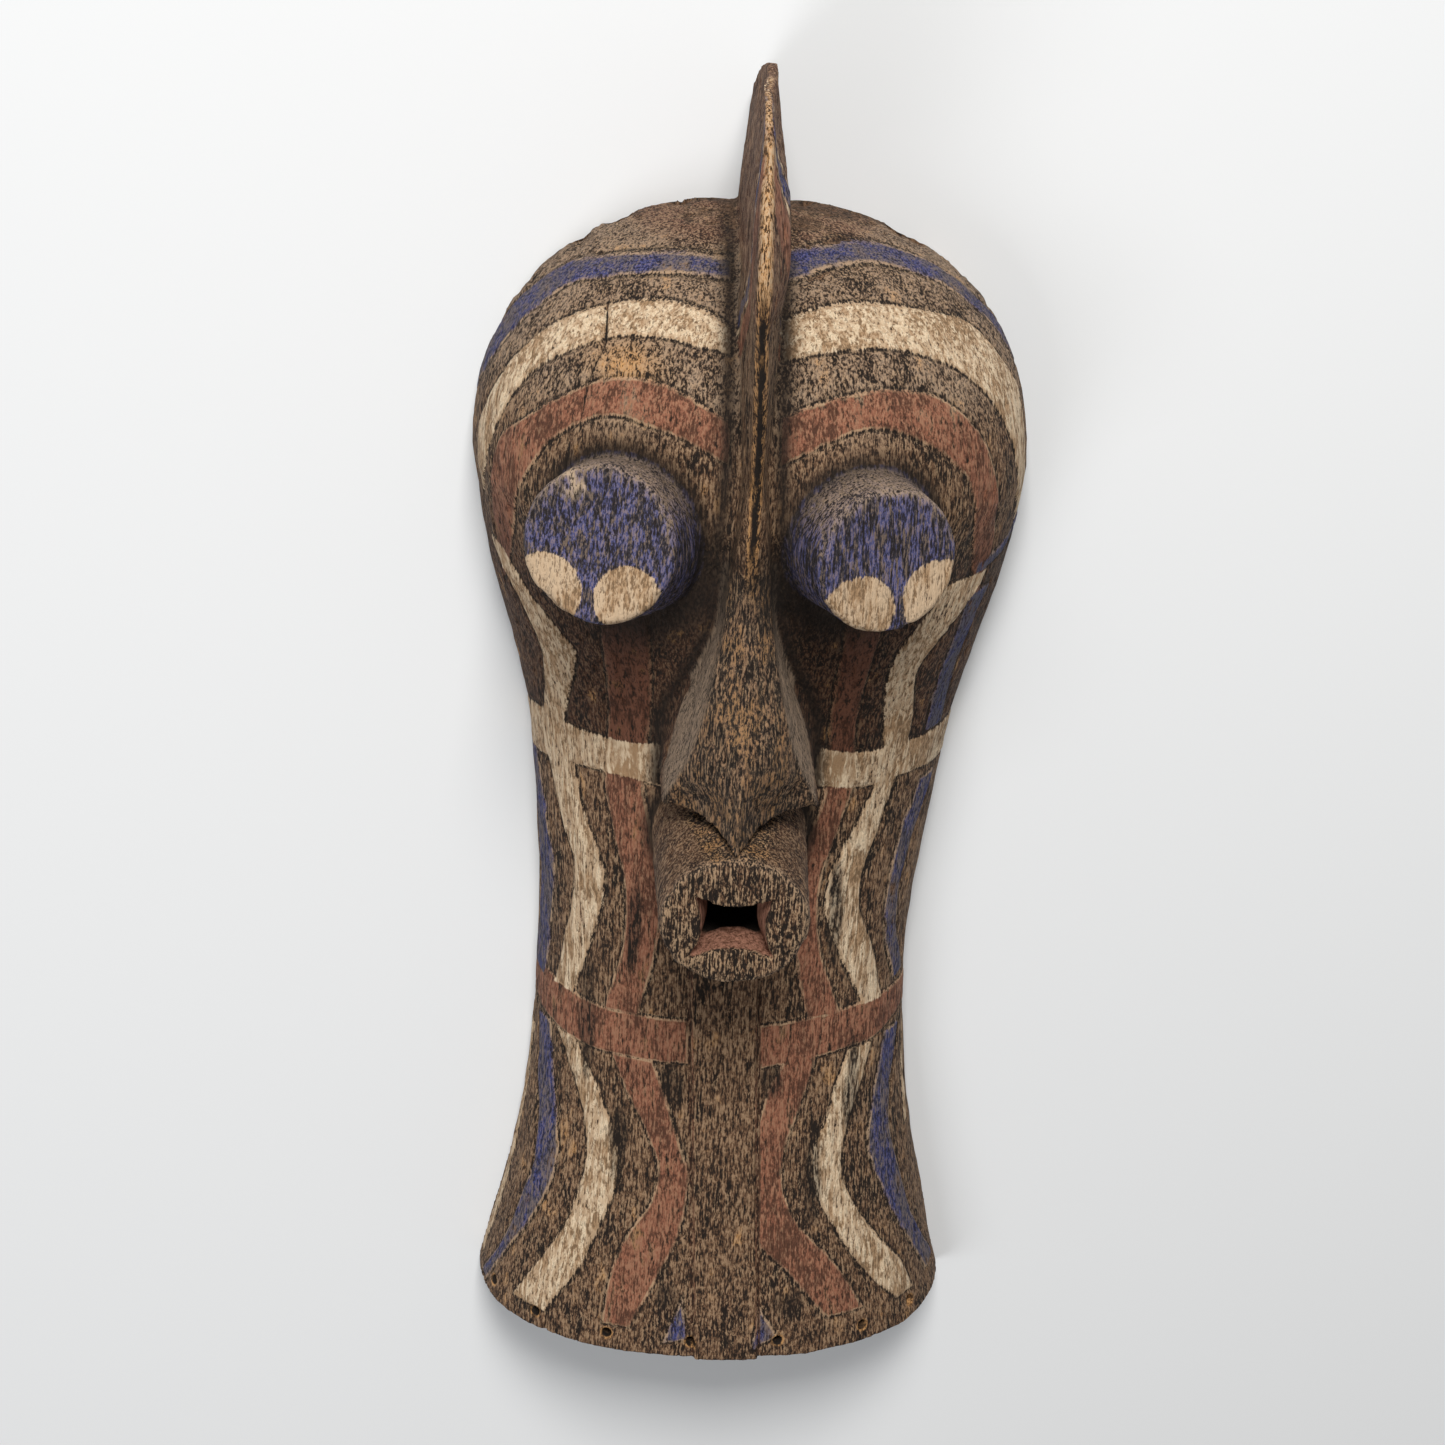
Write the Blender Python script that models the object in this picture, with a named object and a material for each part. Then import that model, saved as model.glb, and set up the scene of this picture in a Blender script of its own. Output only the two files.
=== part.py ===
"""A tall carved wooden face mask with a crest, round eyes and a spout mouth.

The mask lies on its back on the plane Z = 0. Y runs from the chin rim up to
the crest, X to the viewer's right, and Z out of the face. Lengths are metres.
"""
import math

import bmesh
import bpy
from mathutils import Matrix, Vector

# Overall places along Y, with the middle of the whole mask at zero.
CHIN_Y = -0.4725
CROWN_Y = 0.3625

# The forehead dome, widest and deepest at the brow.
BROW_Y = 0.195
BROW_HALF_WIDTH = 0.185
BROW_DEPTH = 0.170
DOME_ROUNDNESS = 2.2

# The face below the brow: half-width and depth at each named height.
EYE_Y = 0.125
EYE_HALF_WIDTH = 0.175
EYE_DEPTH = 0.148
CHEEK_Y = 0.035
CHEEK_HALF_WIDTH = 0.153
CHEEK_DEPTH = 0.116
MOUTH_Y = -0.060
MOUTH_HALF_WIDTH = 0.140
MOUTH_DEPTH = 0.108
NECK_Y = -0.185
NECK_HALF_WIDTH = 0.1335
NECK_DEPTH = 0.101
THROAT_Y = -0.320
THROAT_HALF_WIDTH = 0.144
THROAT_DEPTH = 0.106
CHIN_HALF_WIDTH = 0.1765
CHIN_DEPTH = 0.125

# The nose, mouth and neck lie a little left of the head's own middle.
CENTRE_X = -0.004
CHEEK_CENTRE_X = 0.001
BROW_CENTRE_X = 0.000
CROWN_CENTRE_X = -0.002

# Each section is a rounded arch, a little squarer than an ellipse.
ARCH_SQUARENESS = 2.3

# The hollow behind the face.
SIDE_WALL = 0.016
FACE_WALL = 0.020
CROWN_WALL = 0.026

# The strip carved proud down the middle of the neck.
STRIP_TOP_Y = -0.118
STRIP_TOP_X = -0.0075
STRIP_FOOT_X = 0.0060
STRIP_HALF_WIDTH = 0.0240
STRIP_RISE = 0.0035
STRIP_EDGE = 0.0012

# The crest: places on its ridge and the thickness of the fin.
CREST_TIP_Y = 0.4725
CREST_TIP_BOTTOM = 0.118
CREST_SHOULDER_Y = 0.448
CREST_SHOULDER_Z = 0.226
CREST_PEAK_Y = 0.385
CREST_PEAK_Z = 0.246
CREST_HEEL_Y = 0.430
CREST_HEEL_LIFT = 0.004
CREST_BASE_HALF = 0.0152
CREST_TIP_HALF = 0.0036
CREST_TIP_RIDGE_HALF = 0.0024
CREST_RIDGE_HALF = 0.0042
CREST_LEAN = -0.0030
CREST_ROOT_SHIFT = 0.0020
CREST_BELLY_HALF = 0.0100
CREST_BELLY_DROP = 0.030
CREST_RIDGE_ROUNDING = 0.004
CREST_FOOT_Y = 0.235
CREST_FOOT_Z = 0.204
CREST_RISE_Y = 0.325
CREST_RISE_Z = 0.234

# The nose: a rib between the eyes that opens into a broad front. At each
# named height come the half-width where it meets the face, the half-width of
# its front, the height of the front's edges and the height of its middle.
NOSE_SADDLE_Y = 0.160
NOSE_SADDLE_BASE = 0.0195
NOSE_SADDLE_FRONT = 0.0140
NOSE_SADDLE_EDGE_Z = 0.179
NOSE_SADDLE_Z = 0.188
NOSE_BRIDGE_Y = 0.126
NOSE_BRIDGE_BASE = 0.0212
NOSE_BRIDGE_FRONT = 0.0172
NOSE_BRIDGE_EDGE_Z = 0.184
NOSE_BRIDGE_Z = 0.193
NOSE_WAIST_Y = 0.090
NOSE_WAIST_BASE = 0.0318
NOSE_WAIST_FRONT = 0.0236
NOSE_WAIST_EDGE_Z = 0.188
NOSE_WAIST_Z = 0.200
NOSE_FLARE_Y = 0.050
NOSE_FLARE_BASE = 0.0480
NOSE_FLARE_FRONT = 0.0330
NOSE_FLARE_EDGE_Z = 0.183
NOSE_FLARE_Z = 0.211
NOSE_WING_Y = 0.0045
NOSE_WING_BASE = 0.0515
NOSE_WING_FRONT = 0.0509
NOSE_WING_EDGE_Z = 0.165
NOSE_TIP_X = -0.0073
NOSE_TIP_Y = -0.0057
NOSE_TIP_Z = 0.222
NOSE_ROOT_Z = 0.085
BEAK_SHARPNESS = 2.3

# The eyes: two drums turned a little outward and up towards the crest.
LEFT_PUPIL_X = -0.0985
RIGHT_PUPIL_X = 0.0790
LEFT_PUPIL_Y = 0.1950
RIGHT_PUPIL_Y = 0.1885
PUPIL_Z = 0.1960
LEFT_EYE_RADIUS = 0.0492
RIGHT_EYE_RADIUS = 0.0460
EYE_ROOT_FLARE = 0.0045
EYE_DRUM_LENGTH = 0.085
LEFT_OUTWARD_DEGREES = 17.0
RIGHT_OUTWARD_DEGREES = 19.0
LEFT_UPWARD_DEGREES = 13.0
RIGHT_UPWARD_DEGREES = 3.0

# The mouth: a short spout with a pierced four-lobed slot.
SPOUT_X = -0.0068
SPOUT_Y = -0.0560
SPOUT_Z = 0.2150
SPOUT_RADIUS_X = 0.0492
SPOUT_RADIUS_Y = 0.0475
SPOUT_ROOT_FLARE = 0.0035
SPOUT_LENGTH = 0.125
SPOUT_DOWN_DEGREES = 5.0
SLOT_TOP_HALF_WIDTH = 0.0275
SLOT_TOP_CORNER = 0.0215
SLOT_TOP_LIP = 0.0133
SLOT_FOOT_HALF_WIDTH = 0.0300
SLOT_FOOT_CORNER = -0.0300
SLOT_FOOT_LIP = -0.0209
SLOT_SIDE_REACH = 0.0215
SLOT_NARROWS_ACROSS = 0.74
SLOT_NARROWS_UP = 0.90
SLOT_DEPTH = 0.026
MOUTH_CAVITY_RADIUS = 0.0300
MOUTH_CAVITY_REACH = 0.190

# Holes for the raffia fringe, drilled through the wall behind the chin rim.
LASHING_RADIUS = 0.0035
LASHING_SETBACK = 0.0130
LASHING_PLACES = (-0.163, -0.131, -0.078, -0.016, 0.048, 0.112, 0.151)

SHELL_STATIONS = 42
SHELL_SEGMENTS = 36
HOLLOW_STATIONS = 28
HOLLOW_SEGMENTS = 28
NOSE_STATIONS = 14
CREST_STATIONS = 26
DRUM_SEGMENTS = 48


def ramp(value, start, end):
    """Smooth step from 0 at start to 1 at end."""
    t = (value - start) / (end - start)
    t = min(1.0, max(0.0, t))
    return t * t * (3.0 - 2.0 * t)


def through(places, y):
    """A smooth curve through (place, value) pairs in rising order."""
    if y <= places[0][0]:
        return places[0][1]
    if y >= places[-1][0]:
        return places[-1][1]
    slopes = []
    for i in range(len(places)):
        low = places[max(i - 1, 0)]
        high = places[min(i + 1, len(places) - 1)]
        slopes.append((high[1] - low[1]) / (high[0] - low[0]))
    for i in range(len(places) - 1):
        y0, v0 = places[i]
        y1, v1 = places[i + 1]
        if y0 <= y <= y1:
            h = y1 - y0
            t = (y - y0) / h
            start = (1.0 + 2.0 * t) * (1.0 - t) ** 2 * v0 + t * (1.0 - t) ** 2 * h * slopes[i]
            end = t * t * (3.0 - 2.0 * t) * v1 + t * t * (t - 1.0) * h * slopes[i + 1]
            return start + end
    return places[-1][1]


def dome(y, crown_y, size):
    """The rounded run of a width or depth from the brow up to the crown."""
    u = min(1.0, (y - BROW_Y) / (crown_y - BROW_Y))
    return size * max(0.0, 1.0 - u ** DOME_ROUNDNESS) ** (1.0 / DOME_ROUNDNESS)


WIDTHS = [
    (CHIN_Y, CHIN_HALF_WIDTH),
    (THROAT_Y, THROAT_HALF_WIDTH),
    (NECK_Y, NECK_HALF_WIDTH),
    (MOUTH_Y, MOUTH_HALF_WIDTH),
    (CHEEK_Y, CHEEK_HALF_WIDTH),
    (EYE_Y, EYE_HALF_WIDTH),
    (BROW_Y, BROW_HALF_WIDTH),
]

DEPTHS = [
    (CHIN_Y, CHIN_DEPTH),
    (THROAT_Y, THROAT_DEPTH),
    (NECK_Y, NECK_DEPTH),
    (MOUTH_Y, MOUTH_DEPTH),
    (CHEEK_Y, CHEEK_DEPTH),
    (EYE_Y, EYE_DEPTH),
    (BROW_Y, BROW_DEPTH),
]


CENTRES = [
    (NECK_Y, CENTRE_X),
    (CHEEK_Y, CHEEK_CENTRE_X),
    (BROW_Y, BROW_CENTRE_X),
    (CROWN_Y, CROWN_CENTRE_X),
]


def half_width(y, wall=0.0, crown_y=CROWN_Y):
    """Half-width of the shell at a height, drawn in by a wall thickness."""
    if y > BROW_Y:
        return dome(y, crown_y, BROW_HALF_WIDTH - wall)
    return through(WIDTHS, y) - wall


def depth(y, wall=0.0, crown_y=CROWN_Y):
    """Depth of the shell at a height, drawn in by a wall thickness."""
    if y > BROW_Y:
        return dome(y, crown_y, BROW_DEPTH - wall)
    return through(DEPTHS, y) - wall


def arch(angle, width, height):
    """A point on the rounded arch, from one foot (0) to the other (pi)."""
    power = 2.0 / ARCH_SQUARENESS
    c = math.cos(angle)
    x = -width * math.copysign(abs(c) ** power, c)
    z = height * max(0.0, math.sin(angle)) ** power
    return x, z


def strip_edges(y):
    """Places across the face of the strip's two edges at a height."""
    share = (y - CHIN_Y) / (STRIP_TOP_Y - CHIN_Y)
    middle = STRIP_FOOT_X + (STRIP_TOP_X - STRIP_FOOT_X) * share
    return middle - STRIP_HALF_WIDTH, middle + STRIP_HALF_WIDTH


def arch_angle(x, width):
    """The angle at which the arch stands at a place across it."""
    share = min(1.0, abs(x) / width)
    angle = math.acos(share ** (0.5 * ARCH_SQUARENESS))
    return angle if x < 0.0 else math.pi - angle


def new_object(name, mesh):
    thing = bpy.data.objects.new(name, mesh)
    bpy.context.scene.collection.objects.link(thing)
    return thing


def from_rows(name, rows, hub=None):
    """A closed solid from rings of points, its first end fanned round a hub if given."""
    bm = bmesh.new()
    rings = [[bm.verts.new(p) for p in row] for row in rows]
    count = len(rows[0])
    for low, high in zip(rings, rings[1:]):
        for i in range(count):
            j = (i + 1) % count
            bm.faces.new((low[i], low[j], high[j], high[i]))
    if hub is None:
        bm.faces.new(list(reversed(rings[0])))
    else:
        middle = bm.verts.new(hub)
        for i in range(count):
            bm.faces.new((rings[0][(i + 1) % count], rings[0][i], middle))
    bm.faces.new(rings[-1])
    bmesh.ops.remove_doubles(bm, verts=bm.verts, dist=0.00002)
    bmesh.ops.triangulate(bm, faces=bm.faces)
    bmesh.ops.recalc_face_normals(bm, faces=bm.faces)
    mesh = bpy.data.meshes.new(name)
    bm.to_mesh(mesh)
    bm.free()
    return new_object(name, mesh)


def shell_places(count, low, high):
    """Places along Y, close together where the dome rounds over."""
    straight = round(count * 0.62)
    places = [low + (BROW_Y - low) * i / straight for i in range(straight)]
    curved = count - straight
    for i in range(curved + 1):
        turn = math.sin(0.5 * math.pi * i / curved)
        places.append(BROW_Y + (high - BROW_Y) * turn)
    return places


def arch_row(y):
    """One outer section, with four of its points on the edges of the chin strip."""
    width = half_width(y)
    height = depth(y)
    centre = through(CENTRES, y)
    proud = STRIP_RISE * ramp(STRIP_TOP_Y - y, 0.0, 0.012)
    left, right = strip_edges(min(y, STRIP_TOP_Y))
    angles = [(math.pi * i / SHELL_SEGMENTS, 0.0) for i in range(SHELL_SEGMENTS + 1)]
    low = arch_angle(left - centre, width)
    high = arch_angle(right - centre, width)
    angles = [(angle, proud if low < angle < high else 0.0) for angle, _ in angles]
    for x, rise in ((left, 0.0), (left + STRIP_EDGE, proud), (right - STRIP_EDGE, proud), (right, 0.0)):
        angles.append((arch_angle(x - centre, width), rise))
    row = []
    for angle, rise in sorted(angles):
        x, z = arch(angle, width, height)
        row.append((x + centre, y, z + rise))
    return row


def face_solid():
    """The outside of the face as one filled form, flat behind."""
    places = shell_places(SHELL_STATIONS, CHIN_Y, CROWN_Y - 0.0015)
    return from_rows("mask", [arch_row(y) for y in places])


def hollow_cutter():
    """The hollow behind the face, run out through the back and the chin."""
    rows = []
    high = CROWN_Y - CROWN_WALL
    for y in shell_places(HOLLOW_STATIONS, CHIN_Y - 0.03, high - 0.002):
        width = half_width(y, SIDE_WALL, high)
        height = depth(y, FACE_WALL, high)
        middle = through(CENTRES, y)
        row = [(middle - width, y, -0.03)]
        for i in range(HOLLOW_SEGMENTS + 1):
            x, z = arch(math.pi * i / HOLLOW_SEGMENTS, width, height)
            row.append((middle + x, y, z))
        row.append((middle + width, y, -0.03))
        rows.append(row)
    return from_rows("cut_hollow", rows)


def blade_top(y):
    """Height of the crest and nose ridge."""
    ridge = [
        (NOSE_TIP_Y, NOSE_TIP_Z),
        (NOSE_FLARE_Y, NOSE_FLARE_Z),
        (NOSE_WAIST_Y, NOSE_WAIST_Z),
        (NOSE_BRIDGE_Y, NOSE_BRIDGE_Z),
        (NOSE_SADDLE_Y, NOSE_SADDLE_Z),
        (CREST_FOOT_Y, CREST_FOOT_Z),
        (CREST_RISE_Y, CREST_RISE_Z),
        (CREST_PEAK_Y, CREST_PEAK_Z),
        (CREST_SHOULDER_Y, CREST_SHOULDER_Z),
    ]
    if y <= CREST_SHOULDER_Y:
        return through(ridge, y)
    u = (y - CREST_SHOULDER_Y) / (CREST_TIP_Y - CREST_SHOULDER_Y)
    fall = CREST_SHOULDER_Z - CREST_TIP_BOTTOM - 0.045
    return CREST_SHOULDER_Z - fall * (1.0 - math.sqrt(max(0.0, 1.0 - u * u)))


def blade_bottom(y):
    """Underside of the blade, sunk in the shell until the crest overhangs."""
    if y <= CROWN_Y - 0.03:
        return 0.6 * depth(y) if y > NOSE_SADDLE_Y else NOSE_ROOT_Z
    if y <= CREST_HEEL_Y:
        return CREST_HEEL_LIFT
    u = (y - CREST_HEEL_Y) / (CREST_TIP_Y - CREST_HEEL_Y)
    return CREST_HEEL_LIFT + (CREST_TIP_BOTTOM - CREST_HEEL_LIFT) * u ** 1.6


NOSE_BASES = [
    (NOSE_WING_Y, NOSE_WING_BASE),
    (NOSE_FLARE_Y, NOSE_FLARE_BASE),
    (NOSE_WAIST_Y, NOSE_WAIST_BASE),
    (NOSE_BRIDGE_Y, NOSE_BRIDGE_BASE),
    (NOSE_SADDLE_Y, NOSE_SADDLE_BASE),
    (CREST_FOOT_Y, CREST_BASE_HALF),
]
NOSE_FRONTS = [
    (NOSE_WING_Y, NOSE_WING_FRONT),
    (NOSE_FLARE_Y, NOSE_FLARE_FRONT),
    (NOSE_WAIST_Y, NOSE_WAIST_FRONT),
    (NOSE_BRIDGE_Y, NOSE_BRIDGE_FRONT),
    (NOSE_SADDLE_Y, NOSE_SADDLE_FRONT),
    (CREST_FOOT_Y, CREST_RIDGE_HALF),
]
NOSE_EDGES = [
    (NOSE_WING_Y, NOSE_WING_EDGE_Z),
    (NOSE_FLARE_Y, NOSE_FLARE_EDGE_Z),
    (NOSE_WAIST_Y, NOSE_WAIST_EDGE_Z),
    (NOSE_BRIDGE_Y, NOSE_BRIDGE_EDGE_Z),
    (NOSE_SADDLE_Y, NOSE_SADDLE_EDGE_Z),
    (CREST_FOOT_Y, CREST_FOOT_Z - CREST_RIDGE_ROUNDING),
]


def blade_row(y):
    """One section of the blade, a tapered rib on the crest and a broad front on the nose."""
    thinning = ramp(y, CREST_RISE_Y, CREST_TIP_Y)
    base = through(NOSE_BASES, y) + (CREST_TIP_HALF - CREST_BASE_HALF) * thinning
    front = through(NOSE_FRONTS, y) - (CREST_RIDGE_HALF - CREST_TIP_RIDGE_HALF) * thinning
    top = blade_top(y)
    low = blade_bottom(y)
    edge = through(NOSE_EDGES, y) if y < CREST_FOOT_Y else top - CREST_RIDGE_ROUNDING
    beak = 1.0 - ramp(y, NOSE_WING_Y, NOSE_FLARE_Y + 0.01)
    freed = ramp(y, CREST_FOOT_Y, CREST_PEAK_Y)
    lean = CREST_LEAN * freed
    root = CENTRE_X + CREST_ROOT_SHIFT * freed
    swell = freed * (1.0 - ramp(y, CREST_PEAK_Y, CREST_TIP_Y) ** 2)
    waist = 0.5 * (base + front)
    waist_z = 0.5 * (low + edge)
    belly = waist + (CREST_BELLY_HALF - waist) * swell
    belly_z = waist_z + (edge - CREST_BELLY_DROP - waist_z) * swell
    half = [(root, base, low), (root, belly, belly_z)]
    for share in (1.0, 0.82, 0.60, 0.40, 0.22, 0.09, 0.0):
        rounded = 1.0 - share * share
        pointed = (1.0 - share) ** BEAK_SHARPNESS
        middle = CENTRE_X + (NOSE_TIP_X - CENTRE_X) * beak * (1.0 - share) + lean
        half.append((middle, front * share, edge + (top - edge) * (rounded + (pointed - rounded) * beak)))
    left = [(middle - x, y, z) for middle, x, z in half]
    right = [(middle + x, y, z) for middle, x, z in reversed(half[:-1])]
    return left + right


def blade_solid():
    """The crest fin and the long nose, one tapered blade with a beaked lower end."""
    rows = []
    for i in range(NOSE_STATIONS):
        rows.append(blade_row(NOSE_WING_Y + (NOSE_SADDLE_Y - NOSE_WING_Y) * (i / NOSE_STATIONS) ** 1.2))
    for i in range(CREST_STATIONS + 1):
        u = math.sin(0.5 * math.pi * i / CREST_STATIONS)
        rows.append(blade_row(NOSE_SADDLE_Y + (CREST_TIP_Y - NOSE_SADDLE_Y) * u))
    beak = []
    for x, y, z in rows[0]:
        rise = max(0.0, (z - NOSE_WING_EDGE_Z) / (blade_top(NOSE_WING_Y) - NOSE_WING_EDGE_Z))
        tip_rise = (NOSE_TIP_Z - blade_top(NOSE_WING_Y)) * rise
        beak.append((x, y + (NOSE_TIP_Y - NOSE_WING_Y) * rise, z + tip_rise))
    rows[0] = beak
    hub = (CENTRE_X, NOSE_WING_Y, 0.6 * NOSE_ROOT_Z + 0.4 * NOSE_WING_EDGE_Z)
    return from_rows("add_blade", rows, hub)


def drum_solid(name, radii, length, flare):
    """A drum along Z with its face at the origin, a little wider at the root."""
    rows = []
    rim = 0.0035
    root = 1.0 + flare / radii[0]
    levels = [(-length, root), (-0.55 * length, 0.5 + 0.5 * root)]
    levels += [(-rim, 1.0), (-0.3 * rim, 0.978), (0.0, 0.94)]
    for z, scale in levels:
        row = []
        for i in range(DRUM_SEGMENTS):
            angle = 2.0 * math.pi * i / DRUM_SEGMENTS
            row.append((radii[0] * scale * math.cos(angle), radii[1] * scale * math.sin(angle), z))
        rows.append(row)
    return from_rows(name, rows)


def eye_solid(x, y, radius, outward, upward):
    drum = drum_solid("add_eye", (radius, radius), EYE_DRUM_LENGTH, EYE_ROOT_FLARE)
    turn = Matrix.Rotation(math.radians(math.copysign(outward, x)), 4, "Y")
    lift = Matrix.Rotation(math.radians(-upward), 4, "X")
    place = Matrix.Translation(Vector((x, y, PUPIL_Z)))
    drum.data.transform(place @ turn @ lift)
    return drum


def spout_frame():
    """The spout's place: its face at the origin, its axis along Z."""
    tilt = Matrix.Rotation(math.radians(SPOUT_DOWN_DEGREES), 4, "X")
    return Matrix.Translation(Vector((SPOUT_X, SPOUT_Y, SPOUT_Z))) @ tilt


def spout_solid():
    radii = (SPOUT_RADIUS_X, SPOUT_RADIUS_Y)
    drum = drum_solid("add_spout", radii, SPOUT_LENGTH, SPOUT_ROOT_FLARE)
    drum.data.transform(spout_frame())
    return drum


def slot_side(s):
    """A point on the mouth's right side, from its top corner at -1 to its foot corner at 1."""
    middle_y = 0.5 * (SLOT_TOP_CORNER + SLOT_FOOT_CORNER)
    corner = 0.5 * (SLOT_TOP_HALF_WIDTH * (1.0 - s) + SLOT_FOOT_HALF_WIDTH * (1.0 + s))
    reach = SLOT_SIDE_REACH + (corner - SLOT_SIDE_REACH) * s * s
    return reach, middle_y + (SLOT_FOOT_CORNER - middle_y) * s


def slot_ring():
    """The mouth's outline: four corners, with lips and sides bulging in between."""
    steps = [i / 4.0 - 1.0 for i in range(8)]
    ring = []
    for s in steps:
        ring.append((SLOT_TOP_HALF_WIDTH * s, SLOT_TOP_LIP + (SLOT_TOP_CORNER - SLOT_TOP_LIP) * s * s))
    for s in steps:
        ring.append(slot_side(s))
    for s in steps:
        ring.append((-SLOT_FOOT_HALF_WIDTH * s, SLOT_FOOT_LIP + (SLOT_FOOT_CORNER - SLOT_FOOT_LIP) * s * s))
    for s in steps:
        across, y = slot_side(-s)
        ring.append((-across, y))
    return ring


def slot_cutter():
    """The pierced mouth, which narrows a little towards the cavity behind it."""
    rows = []
    for z, across, up in (
        (-SLOT_DEPTH - 0.006, SLOT_NARROWS_ACROSS, SLOT_NARROWS_UP),
        (-SLOT_DEPTH, SLOT_NARROWS_ACROSS, SLOT_NARROWS_UP),
        (0.0, 1.0, 1.0),
        (0.02, 1.0, 1.0),
    ):
        rows.append([(x * across, y * up, z) for x, y in slot_ring()])
    cutter = from_rows("cut_slot", rows)
    cutter.data.transform(spout_frame())
    return cutter


def mouth_cavity_cutter():
    """The round hollow behind the lips, opened from inside the mask."""
    rows = []
    for z in (-MOUTH_CAVITY_REACH, -SLOT_DEPTH):
        row = []
        for i in range(DRUM_SEGMENTS // 2):
            turn = 2.0 * math.pi * i / (DRUM_SEGMENTS // 2)
            row.append((MOUTH_CAVITY_RADIUS * math.cos(turn), MOUTH_CAVITY_RADIUS * math.sin(turn), z))
        rows.append(row)
    cutter = from_rows("cut_mouth_cavity", rows)
    cutter.data.transform(spout_frame())
    return cutter


def lashing_cutter(x):
    """One hole drilled square through the wall behind the chin rim."""
    y = CHIN_Y + LASHING_SETBACK
    width = half_width(y)
    height = depth(y)
    share = min(0.999, abs(x) / width)
    z = height * (1.0 - share ** ARCH_SQUARENESS) ** (1.0 / ARCH_SQUARENESS)
    power = ARCH_SQUARENESS - 1.0
    out = Vector((math.copysign(share ** power / width, x), 0.0, (z / height) ** power / height))
    rows = []
    for along in (-0.035, 0.015):
        row = []
        for i in range(12):
            angle = 2.0 * math.pi * i / 12
            row.append((LASHING_RADIUS * math.cos(angle), LASHING_RADIUS * math.sin(angle), along))
        rows.append(row)
    cutter = from_rows("cut_lashing", rows)
    turn = out.to_track_quat("Z", "Y").to_matrix().to_4x4()
    cutter.data.transform(Matrix.Translation(Vector((CENTRE_X + x, y, z))) @ turn)
    return cutter


def hide(guide):
    guide.hide_render = True
    guide.display_type = "WIRE"


def combine(target, other, operation):
    """Add a solid to the mask or cut one out of it, and keep it as a guide."""
    change = target.modifiers.new(other.name, "BOOLEAN")
    change.operation = operation
    change.solver = "EXACT"
    change.object = other
    hide(other)


def wood():
    material = bpy.data.materials.new("carved_wood")
    material.use_nodes = True
    shader = material.node_tree.nodes["Principled BSDF"]
    shader.inputs["Base Color"].default_value = (0.16, 0.11, 0.075, 1.0)
    shader.inputs["Roughness"].default_value = 0.85
    return material


for old in list(bpy.data.objects):
    bpy.data.objects.remove(old, do_unlink=True)

mask = face_solid()
left_eye = eye_solid(LEFT_PUPIL_X, LEFT_PUPIL_Y, LEFT_EYE_RADIUS, LEFT_OUTWARD_DEGREES, LEFT_UPWARD_DEGREES)
combine(mask, left_eye, "UNION")
right_eye = eye_solid(RIGHT_PUPIL_X, RIGHT_PUPIL_Y, RIGHT_EYE_RADIUS, RIGHT_OUTWARD_DEGREES, RIGHT_UPWARD_DEGREES)
combine(mask, right_eye, "UNION")
combine(mask, spout_solid(), "UNION")
combine(mask, blade_solid(), "UNION")
combine(mask, hollow_cutter(), "DIFFERENCE")
for place in LASHING_PLACES:
    combine(mask, lashing_cutter(place), "DIFFERENCE")
combine(mask, mouth_cavity_cutter(), "DIFFERENCE")
combine(mask, slot_cutter(), "DIFFERENCE")
mask.data.materials.append(wood())
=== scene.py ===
"""A carved and painted wooden face mask, lying on its back and seen from above."""
import math

import bmesh
import bpy
import numpy as np
from mathutils import Matrix, Vector


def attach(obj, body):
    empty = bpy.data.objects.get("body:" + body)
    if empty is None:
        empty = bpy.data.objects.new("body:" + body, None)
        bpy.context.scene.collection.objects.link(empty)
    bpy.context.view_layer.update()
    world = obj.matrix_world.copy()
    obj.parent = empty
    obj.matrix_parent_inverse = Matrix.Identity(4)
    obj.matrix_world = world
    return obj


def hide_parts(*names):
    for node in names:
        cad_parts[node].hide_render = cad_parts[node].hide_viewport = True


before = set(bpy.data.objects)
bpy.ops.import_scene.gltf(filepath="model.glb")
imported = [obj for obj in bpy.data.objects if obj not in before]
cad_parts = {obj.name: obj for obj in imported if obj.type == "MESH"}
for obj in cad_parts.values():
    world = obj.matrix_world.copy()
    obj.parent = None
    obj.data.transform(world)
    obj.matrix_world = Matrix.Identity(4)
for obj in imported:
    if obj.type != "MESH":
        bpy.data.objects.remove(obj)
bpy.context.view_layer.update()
scene = bpy.context.scene
scene.view_settings.view_transform = "Standard"

# The camera.
# The photograph looks down on the mask from its crest end, so this camera
# stands above the lying mask and leans the same way.
VIEW_DISTANCE = 1.949
VIEW_TILT = math.radians(25.3)
VIEW_SIDE = math.radians(-2.5)
VIEW_ROLL = math.radians(2.36)
VIEW_TARGET = Vector((-0.0100, -0.0151, 0.0))
LENS = 68.9
SENSOR_WIDTH = 36.0

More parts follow.
